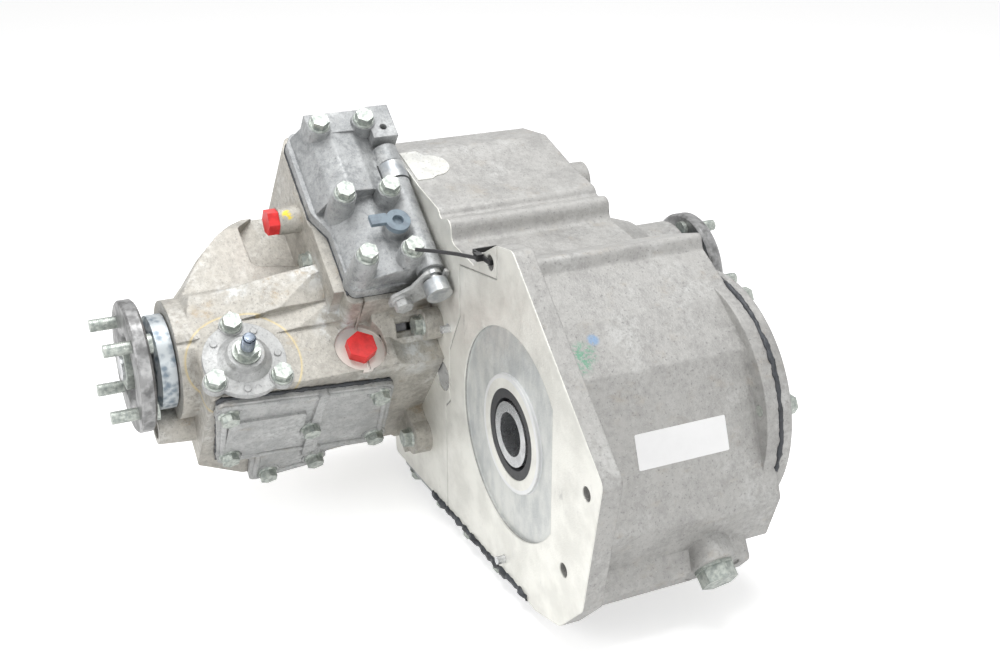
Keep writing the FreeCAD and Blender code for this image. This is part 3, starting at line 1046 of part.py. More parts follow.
export("diff_lock_spindle_nut", lean(spindle_nut.cut(post(SPINDLE_R, NUT_SEAT_N - 1, NUT_SEAT_N + 9,
                                                          SPINDLE_U, SPINDLE_Y))))

# ---- top selector housing -----------------------------------------------------
TOP_BASE = TOP_GASKET_N + GASKET
TOP_OUTLINE = ((-308, TURRET_FRONT + 6), (-298, TURRET_FRONT), (-228, TURRET_FRONT),
               (-208, TURRET_FRONT + 10),
               (-150, TURRET_FRONT + 10), (-150, -2), (-250, -2), (-308, -16))
DOME_PROFILE = ((-80, TOP_BASE), (-80, TOP_BASE + 10), (-70, 4), (-56, 12), (-36, 10), (-8, -4),
                (-8, TOP_BASE))
LOW_PROFILE = ((-72, TOP_BASE), (-72, TOP_BASE + 10), (-62, -4), (-40, 2), (-8, 0), (-8, TOP_BASE))
top_body = [prism_z(TOP_OUTLINE, 7, TOP_BASE, TOP_BASE + 9),
            prism_x(DOME_PROFILE, 5, -302, -226),
            prism_x(LOW_PROFILE, 5, -230, -152),
            spoke(CROSS_R + 3, -268, -148, CROSS_Y, CROSS_N),
            box((-304, -22, -6), (-272, -1, TOP_HEAD_N - 1)),
            box((-304, -72, -12), (-284, -20, TOP_HEAD_N - 4)),
            post(10, -2, BREATHER_N, BREATHER_U, BREATHER_Y)]
for u in TOP_BOLT_U:
    for y in TOP_BOLT_Y:
        top_body.append(Part.makeCone(12, 9.6, TOP_HEAD_N - TOP_BASE, V(u, y, TOP_BASE)))
top_bolt_holes = [bolt_hole(seat, UP_N, 60) for seat in TOP_BOLTS]
top_room = join([box((-280, -66, TOP_BASE - 1), (-168, -22, TOP_BASE + 14)),
                 box((SELECTOR_U - 16, -34, TOP_BASE - 1), (SELECTOR_U + 16, CROSS_Y + 5, CROSS_N))])
top_cuts = [top_room,
            spoke(CROSS_R + SHAFT_GAP, -262, -140, CROSS_Y, CROSS_N),
            spoke(CROSS_R + 5, SELECTOR_U - 9, SELECTOR_U + 9, CROSS_Y, CROSS_N),
            post(3, 2, TOP_HEAD_N + 1, -282, -11),
            post(4, -12, BREATHER_N + 1, BREATHER_U, BREATHER_Y)]
top_housing = lean(join(top_body))
export("top_selector_housing", carve(top_housing, [lean(c) for c in top_cuts] + top_bolt_holes))
top_gasket = prism_z(TOP_OUTLINE, 7, TOP_GASKET_N, TOP_BASE).cut(box((-280, -66, TOP_GASKET_N - 1),
        (-168, -5, TOP_BASE + 1)))
top_gasket = carve(lean(top_gasket), top_bolt_holes)
export("top_housing_bolts", [flange_bolt(seat, UP_N, 60) for seat in TOP_BOLTS])
cap = post(10, BREATHER_N, BREATHER_N + 5, BREATHER_U, BREATHER_Y)
tab = box((BREATHER_U - 8, BREATHER_Y - 22, BREATHER_N + 1),
          (BREATHER_U + 1, BREATHER_Y - 8, BREATHER_N + 5))
stem = post(4, -10, BREATHER_N + 0.5, BREATHER_U, BREATHER_Y)
export("breather_plug", lean(join([cap, tab, stem]).cut(post(4.5, BREATHER_N + 1.5, BREATHER_N + 6,
                                                             BREATHER_U, BREATHER_Y))))

# ---- cross shaft of the range selector ----------------------------------------
CROSS_END_U = -126.0
GROOVE_U = (-143.0, -139.0)
cross = spoke(CROSS_R, -258, CROSS_END_U - 8, CROSS_Y, CROSS_N)
cross = cross.cut(spoke(CROSS_R + 1, GROOVE_U[0], GROOVE_U[1], CROSS_Y,
                        CROSS_N).cut(spoke(CROSS_R - 2, -150, -130, CROSS_Y, CROSS_N)))
cross = cross.fuse(spoke(CROSS_R + 2.5, CROSS_END_U - 12, CROSS_END_U, CROSS_Y, CROSS_N))
FINGER_REACH = 30.0
NECK_HALF = 2.2
finger_ball = spoke(FINGER_R, SELECTOR_U - 4, SELECTOR_U + 4, CROSS_Y, CROSS_N - FINGER_REACH)
finger_neck = box((SELECTOR_U - 4, CROSS_Y - NECK_HALF, CROSS_N - FINGER_REACH),
                  (SELECTOR_U + 4, CROSS_Y + NECK_HALF, CROSS_N))
finger_root = spoke(CROSS_R + 4, SELECTOR_U - 8, SELECTOR_U + 8, CROSS_Y, CROSS_N)
export("range_cross_shaft", lean(join([cross, finger_ball, finger_neck, finger_root])))
plate_low = GROOVE_U[0] + 0.6
retainer = prism_x(((-44, -30), (-24, -30), (-1.5, -14), (-1.5, 12), (-22, 12), (-30, -6), (-44, -16)),
                   4, plate_low, plate_low + 2.8)
retainer = retainer.cut(spoke(CROSS_R - 1.6, plate_low - 1, plate_low + 4, CROSS_Y, CROSS_N))
retainer = retainer.cut(box((plate_low - 1, CROSS_Y - CROSS_R + 1.6, CROSS_N),
                            (plate_low + 4, CROSS_Y + CROSS_R - 1.6, 40)))
retainer_seat = leaned(plate_low + 2.8, -34, -22)
export("cross_shaft_retainer", [carve(lean(retainer), [bolt_hole(retainer_seat, OUT_U)]),
                                flange_bolt(retainer_seat, OUT_U, 2.8)])

# ---- rear output housing ------------------------------------------------------
rear_start = CASE_DEPTH + GASKET
rear_body = about_output(((0, rear_start), (BELL_BACK_R, rear_start), (BELL_BACK_R, REAR_SEAT_Y),
                          (91, REAR_SEAT_Y), (84, REAR_SEAT_Y + 2),
                          (70, REAR_SEAT_Y + 16), (NECK_R + 6, 222), (NECK_R, 230),
                          (NECK_R, REAR_NECK_END), (0, REAR_NECK_END)))
rear_body = join([rear_body, rod(DIFF_BEARING_R + 8, DIFF_BEARING_REAR_Y - 1, rear_start, OUTPUT_X,
                                 OUTPUT_Z),
                  rod(15.5, rear_start, 178, SELECTOR_X, SELECTOR_Z)])
rear_inner = about_output(((0, DIFF_BEARING_REAR_Y - 2), (DIFF_BEARING_R, DIFF_BEARING_REAR_Y - 2),
                           (DIFF_BEARING_R, DIFF_BEARING_REAR_Y + BEARING_WIDTH),
                           (36, DIFF_BEARING_REAR_Y + BEARING_WIDTH),
                           (36, rear_start + 4), (58, REAR_SEAT_Y + 6), (44, 216), (30, 224),
                           (30, REAR_BEARING_Y),
                           (BALL_BEARING_R, REAR_BEARING_Y),
                           (BALL_BEARING_R, REAR_BEARING_Y + BALL_BEARING_WIDTH),
                           (SEAL_OUTER_R - 3, REAR_BEARING_Y + BALL_BEARING_WIDTH),
                           (SEAL_OUTER_R - 3, REAR_SEAL_Y),
                           (SEAL_OUTER_R, REAR_SEAL_Y), (SEAL_OUTER_R, REAR_NECK_END + 1),
                           (0, REAR_NECK_END + 1)))
rear_holes = [bolt_hole(seat, REARWARD) for seat in REAR_BOLTS]
rear_housing = carve(rear_body, [rear_inner, rod(SELECTOR_R + SHAFT_GAP, rear_start - 1, 173, SELECTOR_X,
                                                 SELECTOR_Z)] + rear_holes)
export("rear_output_housing", rear_housing)
rear_gasket = tube(BELL_BACK_R, REAR_OPENING_R, CASE_DEPTH, rear_start, OUTPUT_X, OUTPUT_Z)
rear_gasket = (carve(rear_gasket, rear_holes + [rod(SELECTOR_R + 1, CASE_DEPTH - 1, rear_start + 1,
                                                    SELECTOR_X, SELECTOR_Z)]))
rear_bolts = [flange_bolt(seat, REARWARD) for seat in REAR_BOLTS]

# ---- cable tie through the lug ------------------------------------------------
TIE_Z = LUG_HOLE[1] - 1.0
TIE_HEIGHT = 3.6
TIE_WALL = 1.4
TIE_LEFT = -60.4
TIE_RIGHT = -31.0
TIE_FRONT = -0.4
loop_back = FLANGE_THICK + 0.4
loop_outer = box((TIE_LEFT, TIE_FRONT - TIE_WALL, TIE_Z),
                 (TIE_RIGHT, loop_back + TIE_WALL, TIE_Z + TIE_HEIGHT))
loop_inner = box((TIE_LEFT + TIE_WALL, TIE_FRONT, TIE_Z - 1),
                 (TIE_RIGHT - TIE_WALL, loop_back, TIE_Z + TIE_HEIGHT + 1))
tie_head = box((-50, TIE_FRONT - 5.5, TIE_Z - 0.6), (-43, TIE_FRONT - 0.5, TIE_Z + TIE_HEIGHT + 1))
tail_path = ((-44, -4), (-60, -15), (-72, -26), (-82, -38))
tie_tail = [box((-49, -5.5, TIE_Z + 0.4), (-44, -3, TIE_Z + 3.0))]
for near, far in zip(tail_path, tail_path[1:]):
    along = V(far[0] - near[0], far[1] - near[1], 0).normalize()
    side = V(-along.y, along.x, 0) * 0.7
    start = V(near[0], near[1], TIE_Z + 0.4) - along * 0.6
    end = V(far[0], far[1], TIE_Z + 0.4) + along * 0.6
    strip = Part.Face(Part.makePolygon([start - side, end - side, end + side, start + side, start - side]))
    tie_tail.append(strip.extrude(V(0, 0, 2.6)))
export("cable_tie", join([loop_outer.cut(loop_inner), tie_head] + tie_tail))

# ---- parts that share one node ------------------------------------------------
export("case_bolts", sump_bolts + barrel_bolts + front_bolts + rear_bolts)
export("cover_bolts", side_bolts + finger_bolts)
export("gaskets", [sump_gasket, barrel_gasket, side_gasket, top_gasket, rear_gasket])
export("oil_seals", [input_seal, front_seal, rear_seal])
export("taper_bearing_cups", input_cups + differential_cups)
export("case_plug_and_dowels", [core_plug] + dowels)
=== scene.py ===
# %% [markdown]
# # A transfer case, dressed for the camera
# The solids of this transfer case were drawn as an assembly in a CAD program: castings, covers, gears,
# shafts, bolts and flanges. Here they are loaded as a fixed frame. The lesson gives each of them the finish
# of metal, rubber or plastic, and adds what the drawing leaves out: sealant squeezed from the joints, screw
# threads, the ribs of a cover, a machined pad and a plain label.

# %% Load the frame
import json
import math
import bpy
import bmesh
from mathutils import Matrix, Vector

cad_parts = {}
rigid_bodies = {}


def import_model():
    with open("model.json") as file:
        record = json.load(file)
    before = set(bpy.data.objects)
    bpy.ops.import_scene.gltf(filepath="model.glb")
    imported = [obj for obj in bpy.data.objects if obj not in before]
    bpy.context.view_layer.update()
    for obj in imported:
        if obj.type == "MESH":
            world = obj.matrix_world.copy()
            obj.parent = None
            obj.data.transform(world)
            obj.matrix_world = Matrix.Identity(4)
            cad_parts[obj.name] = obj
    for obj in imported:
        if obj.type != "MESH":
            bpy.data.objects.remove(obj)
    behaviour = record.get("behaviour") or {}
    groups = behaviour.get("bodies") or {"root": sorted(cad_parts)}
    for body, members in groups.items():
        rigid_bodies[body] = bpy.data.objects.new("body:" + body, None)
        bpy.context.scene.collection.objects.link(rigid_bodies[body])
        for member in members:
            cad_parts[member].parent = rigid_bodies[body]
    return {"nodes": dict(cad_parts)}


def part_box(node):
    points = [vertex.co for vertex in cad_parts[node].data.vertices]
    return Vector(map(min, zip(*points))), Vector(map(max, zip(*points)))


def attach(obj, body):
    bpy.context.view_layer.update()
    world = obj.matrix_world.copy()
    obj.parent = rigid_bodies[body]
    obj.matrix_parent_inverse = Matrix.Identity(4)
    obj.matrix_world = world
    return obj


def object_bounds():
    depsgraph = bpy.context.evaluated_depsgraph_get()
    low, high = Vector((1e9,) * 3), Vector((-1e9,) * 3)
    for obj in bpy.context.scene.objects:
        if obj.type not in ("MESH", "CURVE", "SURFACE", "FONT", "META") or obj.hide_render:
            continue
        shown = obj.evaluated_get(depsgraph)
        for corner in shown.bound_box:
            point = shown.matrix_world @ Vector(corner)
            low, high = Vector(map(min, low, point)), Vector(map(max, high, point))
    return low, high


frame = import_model()
cad_low, cad_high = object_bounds()
nodes = frame["nodes"]
MM = 0.001
TILT = math.radians(38.0)
print("nodes loaded:", len(nodes), "box:", [round(v, 3) for v in (*cad_low, *cad_high)])

# %% [markdown]
# ## Two ways to say where something is
# The gear train's case leans 38 degrees about the shafts. Most covers are square to the leaning case, so a
# point on them is easiest to give as u (across the case), y (along the shafts) and n (out of its top).

# %% Leaning coordinates
def leaned(u, y, n):
    """A point of the leaning case, in millimetres, as a place in the level frame, in metres."""
    x = u * math.cos(TILT) + n * math.sin(TILT)
    z = n * math.cos(TILT) - u * math.sin(TILT)
    return Vector((x, y, z)) * MM


OUTPUT_AXIS = Vector((-200.3, 0.0, 20.0)) * MM
print("output axis", tuple(round(v, 4) for v in OUTPUT_AXIS))

# %% [markdown]
# ## Shader sums that read like sums
# A procedural finish is arithmetic on textures. The small class below wraps one shader socket, so that
# adding or multiplying two of them adds the Math node that does it. A second class holds one material and
# makes every other node through a single method.

# %% Sockets and finishes
class Socket:
    """One output of a shader node, with arithmetic."""

    def __init__(self, finish, out):
        self.finish, self.out = finish, out

    def maths(self, operation, *values):
        sockets = dict(enumerate(values))
        return self.finish.node("ShaderNodeMath", {"operation": operation}, sockets)

    def __add__(self, other):
        return self.maths("ADD", self, other)

    def __sub__(self, other):
        return self.maths("SUBTRACT", self, other)

    def __rsub__(self, other):
        return self.maths("SUBTRACT", other, self)

    def __mul__(self, other):
        return self.maths("MULTIPLY", self, other)

    __radd__ = __add__
    __rmul__ = __mul__

    def power(self, other):
        return self.maths("POWER", self, other)

    def below(self, limit):
        return self.maths("LESS_THAN", self, limit)

    def above(self, limit):
        return self.maths("GREATER_THAN", self, limit)

    def soft(self, start, end, low=0.0, high=1.0):
        """Goes smoothly from low to high while the value goes from start to end."""
        return self.finish.node("ShaderNodeMapRange", {"interpolation_type": "SMOOTHSTEP"},
                                {0: self, 1: start, 2: end, 3: low, 4: high})


class Finish:
    """One material: a Principled surface and the nodes that vary it."""

    def __init__(self, name):
        self.material = bpy.data.materials.new(name)
        self.material.use_nodes = True
        self.tree = self.material.node_tree
        self.surface = self.tree.nodes["Principled BSDF"]
        self.place = self.node("ShaderNodeTexCoord", out="Object")

    def node(self, kind, settings=None, sockets=None, out=0):
        made = self.tree.nodes.new(kind)
        for key, value in (settings or {}).items():
            if key == "stops":
                while len(made.color_ramp.elements) < len(value):
                    made.color_ramp.elements.new(0.5)
                for element, (spot, colour) in zip(made.color_ramp.elements, value):
                    element.position, element.color = spot, colour
            else:
                setattr(made, key, value)
        for key, value in (sockets or {}).items():
            self.feed(made.inputs[key], value)
        return Socket(self, made.outputs[out])

    def feed(self, target, value):
        if isinstance(value, Socket):
            self.tree.links.new(value.out, target)
        else:
            target.default_value = value

    def set(self, **values):
        for key, value in values.items():
            self.feed(self.surface.inputs[key.replace("_", " ")], value)

    def grain(self, scale, detail=2.0, rough=0.55, place=None):
        sockets = {"Vector": place or self.place, "Scale": scale, "Detail": detail, "Roughness": rough}
        return self.node("ShaderNodeTexNoise", {}, sockets)

    def stretched(self, sx, sy, sz):
        return self.node("ShaderNodeMapping", {}, {"Vector": self.place, "Scale": (sx, sy, sz)})

    def split(self):
        return [self.node("ShaderNodeSeparateXYZ", {}, {0: self.place}, out=k) for k in range(3)]

    def mix(self, first, second, amount):
        return self.node("ShaderNodeMix", {"data_type": "RGBA"}, {0: amount, 6: first, 7: second}, out=2)

    def bump(self, height, depth, strength=1.0, edge=0.0):
        """Relief; an edge of some millimetres also rounds the corners of the drawing."""
        sockets = {"Height": height, "Distance": depth, "Strength": strength}
        if edge:
            sockets["Normal"] = self.node("ShaderNodeBevel", {"samples": 4}, {"Radius": edge * MM})
        self.set(Normal=self.node("ShaderNodeBump", {}, sockets))

    def distance(self, spot):
        """How far a surface point is from a spot, in metres."""
        sockets = {0: self.place, 1: spot}
        return self.node("ShaderNodeVectorMath", {"operation": "DISTANCE"}, sockets, out="Value")


def tone(r, g, b):
    return (r, g, b, 1.0)


def dress(finish, *names):
    """Gives a finish to CAD nodes."""
    for name in names:
        slots = nodes[name].data.materials
        slots.clear()
        slots.append(finish.material)


print("paint shop ready")

# %% [markdown]
# ## Cast aluminium
# The case, housings and covers are sand or die castings. Bare cast aluminium is a warm light grey with a
# fine grain, darker where oil has soaked in, with ochre stains and a whitish bloom of corrosion. Noise of
# several sizes makes these: the finest is also the relief, and the broader ones move the colour.

# %% Cast finish
METAL = 0.45


def cast_finish(name, light, dark, bloom=0.3, stain=0.3, relief=0.35, edge=1.2, rough=0.56):
    f = Finish(name)
    fine = f.grain(1300.0, 3.0, 0.75)
    pits = f.grain(520.0, 2.0)
    speckle = f.grain(210.0, 4.0, 0.7)
    patch = f.grain(42.0, 6.0, 0.72)
    cloud = f.grain(17.0, 5.0, 0.66)
    colour = f.mix(dark, light, (patch * 0.6 + speckle * 0.4).soft(0.36, 0.62))
    haze = cloud.soft(0.50, 0.68) * speckle.soft(0.36, 0.60)
    colour = f.mix(colour, tone(0.70, 0.715, 0.71), haze * bloom)
    soot = f.grain(23.0, 6.0, 0.74, f.stretched(1.0, 1.3, 0.8))
    colour = f.mix(colour, tone(0.17, 0.165, 0.155), soot.soft(0.56, 0.74) * speckle.soft(0.40, 0.58) * 0.42)
    rust = f.grain(48.0, 6.0, 0.7, f.stretched(1.0, 0.8, 1.4))
    colour = f.mix(colour, tone(0.34, 0.25, 0.14), rust.soft(0.56, 0.74) * stain)
    colour = f.mix(colour, tone(0.13, 0.13, 0.13), pits.soft(0.58, 0.74) * 0.45)
    colour = f.mix(colour, tone(0.82, 0.82, 0.81), fine.soft(0.56, 0.76) * 0.40)
    f.colour = colour
    f.roughness = patch.soft(0.3, 0.7, rough - 0.10, rough + 0.12)
    f.set(Base_Color=colour, Roughness=f.roughness, Metallic=METAL)
    f.bump(fine * 0.6 + pits, relief * MM, 0.7, edge)
    return f


CASE_LIGHT = tone(0.46, 0.455, 0.44)
CASE_DARK = tone(0.335, 0.33, 0.32)
front_cast = cast_finish("front_casting", tone(0.52, 0.50, 0.455), tone(0.33, 0.315, 0.285),
                         0.40, 0.60, 0.30, 1.6)
cover_cast = cast_finish("cover_casting", tone(0.50, 0.505, 0.50), tone(0.33, 0.335, 0.335),
                         0.50, 0.25, 0.22, 1.0)
top_cast = cast_finish("selector_casting", tone(0.43, 0.44, 0.445), tone(0.24, 0.25, 0.255),
                       0.50, 0.08, 0.25, 1.4)
rear_cast = cast_finish("rear_casting", CASE_LIGHT, CASE_DARK, 0.3, 0.25, 0.35, 1.8)
dress(cover_cast, "side_cover", "diff_lock_cover", "cross_shaft_retainer")
dress(top_cast, "top_selector_housing")
dress(rear_cast, "rear_output_housing", "barrel_cover")
print("cast finishes made")

# %% [markdown]
# ## The main case: one casting, several surfaces
# The gearbox side of the main case is machined flat and has gone pale, and inside it a shallow recess is
# greyer. Both are the same piece of metal, so the finish decides by place: a point whose y is nearly zero is
# on the machined face, and one three millimetres deeper, within the recess's radius, is on its floor.

# %% Main case finish
case_cast = cast_finish("main_casting", CASE_LIGHT, CASE_DARK, 0.25, 0.22, 0.42, 1.6)
f = case_cast
x, y, z = f.split()
radius = (x * x + z * z).power(0.5)
face = y.below(0.0008)
floor = y.above(0.0020) * y.below(0.0036) * radius.above(0.0455) * radius.below(0.0825)
streaks = f.grain(46.0, 6.0, 0.7, f.stretched(1.5, 1.0, 0.6))
film = f.grain(26.0, 4.0, 0.6)
pale = f.mix(tone(0.70, 0.695, 0.65), tone(0.83, 0.825, 0.775), film.soft(0.35, 0.62))
pale = f.mix(pale, tone(0.36, 0.36, 0.35), streaks.soft(0.60, 0.74) * 0.55)
blue = f.mix(tone(0.48, 0.50, 0.50), tone(0.67, 0.68, 0.655), (streaks * 0.6 + film * 0.4).soft(0.36, 0.62))
worked = f.mix(f.mix(f.colour, pale, face), blue, floor)
rim = y.below(0.0036) * (radius.above(0.0425) * radius.below(0.0462))
worked = f.mix(worked, tone(0.78, 0.79, 0.80), rim * 0.8)
GREEN_SPOTS = ((0.048, 0.020, 0.077), (0.047, 0.034, 0.077), (0.053, 0.027, 0.073))
smear = f.grain(330.0, 4.0, 0.7)
for spot in GREEN_SPOTS:
    green = f.distance(spot).soft(0.013, 0.006) * smear.soft(0.42, 0.60) * 0.7
    worked = f.mix(worked, tone(0.16, 0.36, 0.25), green)
DABS = (((-0.1121, 0.0, 0.0436), 0.0045, tone(0.10, 0.24, 0.55)),
        ((0.0392, 0.0458, 0.0825), 0.006, tone(0.22, 0.36, 0.56)),
        ((0.046, 0.024, 0.078), 0.003, tone(0.75, 0.35, 0.08)))
for spot, size, paint in DABS:
    dab = f.distance(spot).soft(size, size * 0.4) * smear.soft(0.30, 0.5) * 0.8
    worked = f.mix(worked, paint, dab)
f.set(Base_Color=worked, Roughness=f.roughness - (face + floor) * 0.14)
dress(case_cast, "main_case")

f = front_cast
x, y, z = f.split()
up_n = x * math.sin(TILT) + z * math.cos(TILT)
ring_spot = leaned(-129.0, -160.3, -56.0)
plug_spot = leaned(-124.6, -66.0, -63.0)
ring_zone = f.distance(ring_spot)
spotface = ring_zone.below(0.0444) * up_n.below(-0.0555) * up_n.above(-0.0565)
machined = f.mix(f.colour, tone(0.66, 0.65, 0.60), spotface)
# painted highlight: a yellowish bright ring just outside the spotface's edge, where the edge catches the
# light
rim_highlight = ring_zone.soft(0.0465, 0.0445) * ring_zone.above(0.0440) * 0.75
machined = f.mix(machined, tone(0.60, 0.50, 0.28), rim_highlight)
plug_seat = f.distance(plug_spot).below(0.0212) * up_n.below(-0.0625) * up_n.above(-0.0635)
machined = f.mix(machined, tone(0.72, 0.71, 0.66), plug_seat)
smudge = f.grain(75.0, 5.0, 0.7)
WHITE_PATCHES = ((-150.0, -78.0, -58.0, 26.0), (-196.0, -90.0, -56.0, 26.0), (-118.0, -20.0, -70.0, 24.0),
                 (-108.0, -60.0, -78.0, 20.0), (-196.0, -150.0, -64.0, 18.0), (-112.0, -178.0, -76.0, 16.0))
for u, y_place, n, size in WHITE_PATCHES:
    near = f.distance(leaned(u, y_place, n)).soft(size * MM, size * 0.3 * MM)
    machined = f.mix(machined, tone(0.70, 0.725, 0.73), near * smudge.soft(0.42, 0.58) * 0.75)
yellow = leaned(-240.0, -97.0, -28.8)
streak = f.distance(yellow).soft(0.006, 0.004) * f.grain(160.0).soft(0.42, 0.55)
machined = f.mix(machined, tone(0.78, 0.62, 0.08), streak)
f.set(Base_Color=machined)
dress(front_cast, "front_output_housing")
print("main case and front housing dressed")

# %% [markdown]
# ## Plated, stained and polished steel
# Bolts are zinc plated with a faint green cast. The flanges are turned steel that has gone dark, with a worn
# rim. The mud shields are galvanised: zinc freezes in leaf-like patches, which a Voronoi texture gives.

# %% Steel finishes
def steel(name, light, dark, rough, metal=0.9, patch=90.0, lines=None):
    f = Finish(name)
    wear = f.grain(patch, 4.0, 0.6)
    fine = f.grain(1900.0, 2.0)
    f.colour = f.mix(dark, light, wear.soft(0.34, 0.64))
    f.set(Base_Color=f.colour, Metallic=metal, Roughness=wear.soft(0.3, 0.7, rough + 0.10, rough - 0.06))
    height = fine if lines is None else fine * 0.3 + f.grain(2600.0, 1.0, 0.4, f.stretched(*lines))
    f.bump(height, 0.03 * MM, 0.5, 0.35)
    return f


zinc = steel("zinc_plate", tone(0.50, 0.53, 0.49), tone(0.30, 0.33, 0.31), 0.40, 0.70, 260.0)
bright = steel("bright_steel", tone(0.66, 0.67, 0.68), tone(0.50, 0.51, 0.52), 0.24)
gear_steel = steel("gear_steel", tone(0.46, 0.47, 0.48), tone(0.33, 0.34, 0.35), 0.32)
iron = steel("cast_iron", tone(0.26, 0.26, 0.27), tone(0.16, 0.16, 0.17), 0.55, 0.6)
plate = steel("pressed_plate", tone(0.50, 0.51, 0.52), tone(0.34, 0.35, 0.36), 0.45, 0.6)
bright_names = ["taper_bearing_cups", "input_bearing_cones", "differential_bearing_cones",
                "output_bearing_outer_races", "front_bearing_inner_race", "rear_bearing_inner_race",
                "intermediate_needles", "intermediate_shaft", "intermediate_thrust_washers",
                "high_low_selector_shaft", "diff_lock_shaft", "input_gear"]
gear_names = ["intermediate_gear", "low_output_gear", "high_output_gear", "high_low_hub", "high_low_sleeve",
              "diff_lock_sleeve", "front_side_gear", "rear_side_gear", "planet_pinions", "cross_pins",
              "speedometer_gear", "front_output_shaft", "rear_output_shaft"]
dress(zinc, "case_bolts", "cover_bolts", "top_housing_bolts", "differential_bolts", "diff_lock_spindle_nut",
      "drain_plug", "front_flange_fasteners", "rear_flange_fasteners", "diff_lock_spindle")
dress(bright, *bright_names)
dress(gear_steel, *gear_names)
dress(iron, "differential_front_half", "differential_rear_half", "high_low_fork", "diff_lock_fork",
      "high_low_selector_jaw", "diff_lock_jaw")
dress(plate, "sump_plate")
polished = steel("polished_plug", tone(0.66, 0.67, 0.68), tone(0.50, 0.51, 0.52), 0.20, 0.60)
dress(polished, "case_plug_and_dowels")

flange_steel = steel("stained_flange", tone(0.27, 0.27, 0.27), tone(0.15, 0.15, 0.15), 0.42, 0.75, 70.0)
f = flange_steel
x, y, z = f.split()
across, height = x - OUTPUT_AXIS.x, z - OUTPUT_AXIS.z
radius = (across * across + height * height).power(0.5)
worn = radius.soft(0.0500, 0.0520) * f.grain(150.0, 3.0).soft(0.40, 0.66) * 0.5
f.set(Base_Color=f.mix(f.colour, tone(0.46, 0.46, 0.46), worn))
dress(flange_steel, "front_flange", "rear_flange")

cross_steel = steel("cross_shaft", tone(0.50, 0.51, 0.51), tone(0.30, 0.32, 0.34), 0.38, 0.8)
dress(cross_steel, "range_cross_shaft")

shield_zinc = Finish("galvanised_shield")
f = shield_zinc
spangle = f.node("ShaderNodeTexVoronoi", {}, {"Vector": f.place, "Scale": 150.0}, out="Distance")
cloud = f.grain(120.0, 4.0, 0.6)
colour = f.mix(tone(0.20, 0.25, 0.30), tone(0.56, 0.60, 0.62), (spangle * 0.7 + cloud).soft(0.50, 1.0))
f.set(Base_Color=colour, Metallic=0.45, Roughness=0.42)
f.bump(cloud, 0.1 * MM, 0.5)
dress(shield_zinc, "front_mud_shield", "rear_mud_shield")
print("steel finishes made")

# %% [markdown]
# ## Rubber and plastic
# The oil seals and gaskets are black rubber and sealant. The transit plugs and the breather plug are moulded
# plastic: an even colour with a soft sheen and faint mould grain.

# %% Soft finishes
def moulded(name, colour, shade, rough, depth=0.05):
    f = Finish(name)
    cloud = f.grain(140.0, 3.0)
    fine = f.grain(1600.0, 2.0)
    f.set(Base_Color=f.mix(shade, colour, cloud.soft(0.3, 0.6)))
    f.set(Roughness=cloud.soft(0.3, 0.7, rough, rough + 0.14))
    f.bump(fine + cloud, depth * MM, 0.5, 0.5)
    return f


black_rubber = moulded("black_rubber", tone(0.030, 0.031, 0.034), tone(0.018, 0.018, 0.020), 0.42)
sealant = moulded("sealant", tone(0.045, 0.050, 0.058), tone(0.020, 0.022, 0.026), 0.34, 0.4)
red_plastic = moulded("red_plastic", tone(0.80, 0.035, 0.035), tone(0.62, 0.02, 0.02), 0.34)
grey_plastic = moulded("grey_plastic", tone(0.22, 0.28, 0.33), tone(0.15, 0.19, 0.23), 0.42)
nylon = moulded("black_nylon", tone(0.020, 0.020, 0.022), tone(0.012, 0.012, 0.013), 0.30)
dress(black_rubber, "oil_seals", "gaskets")
dress(red_plastic, "transit_plugs")
dress(grey_plastic, "breather_plug")
dress(nylon, "cable_tie")
undressed = [name for name in nodes if not nodes[name].data.materials]
print("soft finishes made; undressed nodes:", undressed)

# %% [markdown]
# ## Geometry Nodes: helpers
# What repeats, or runs along an edge, is grown by a Geometry Nodes tree. Its sizes are named inputs, which
# are set through each socket's identifier before the object is first evaluated. The result is then turned
# into a plain mesh, and the modifier goes.

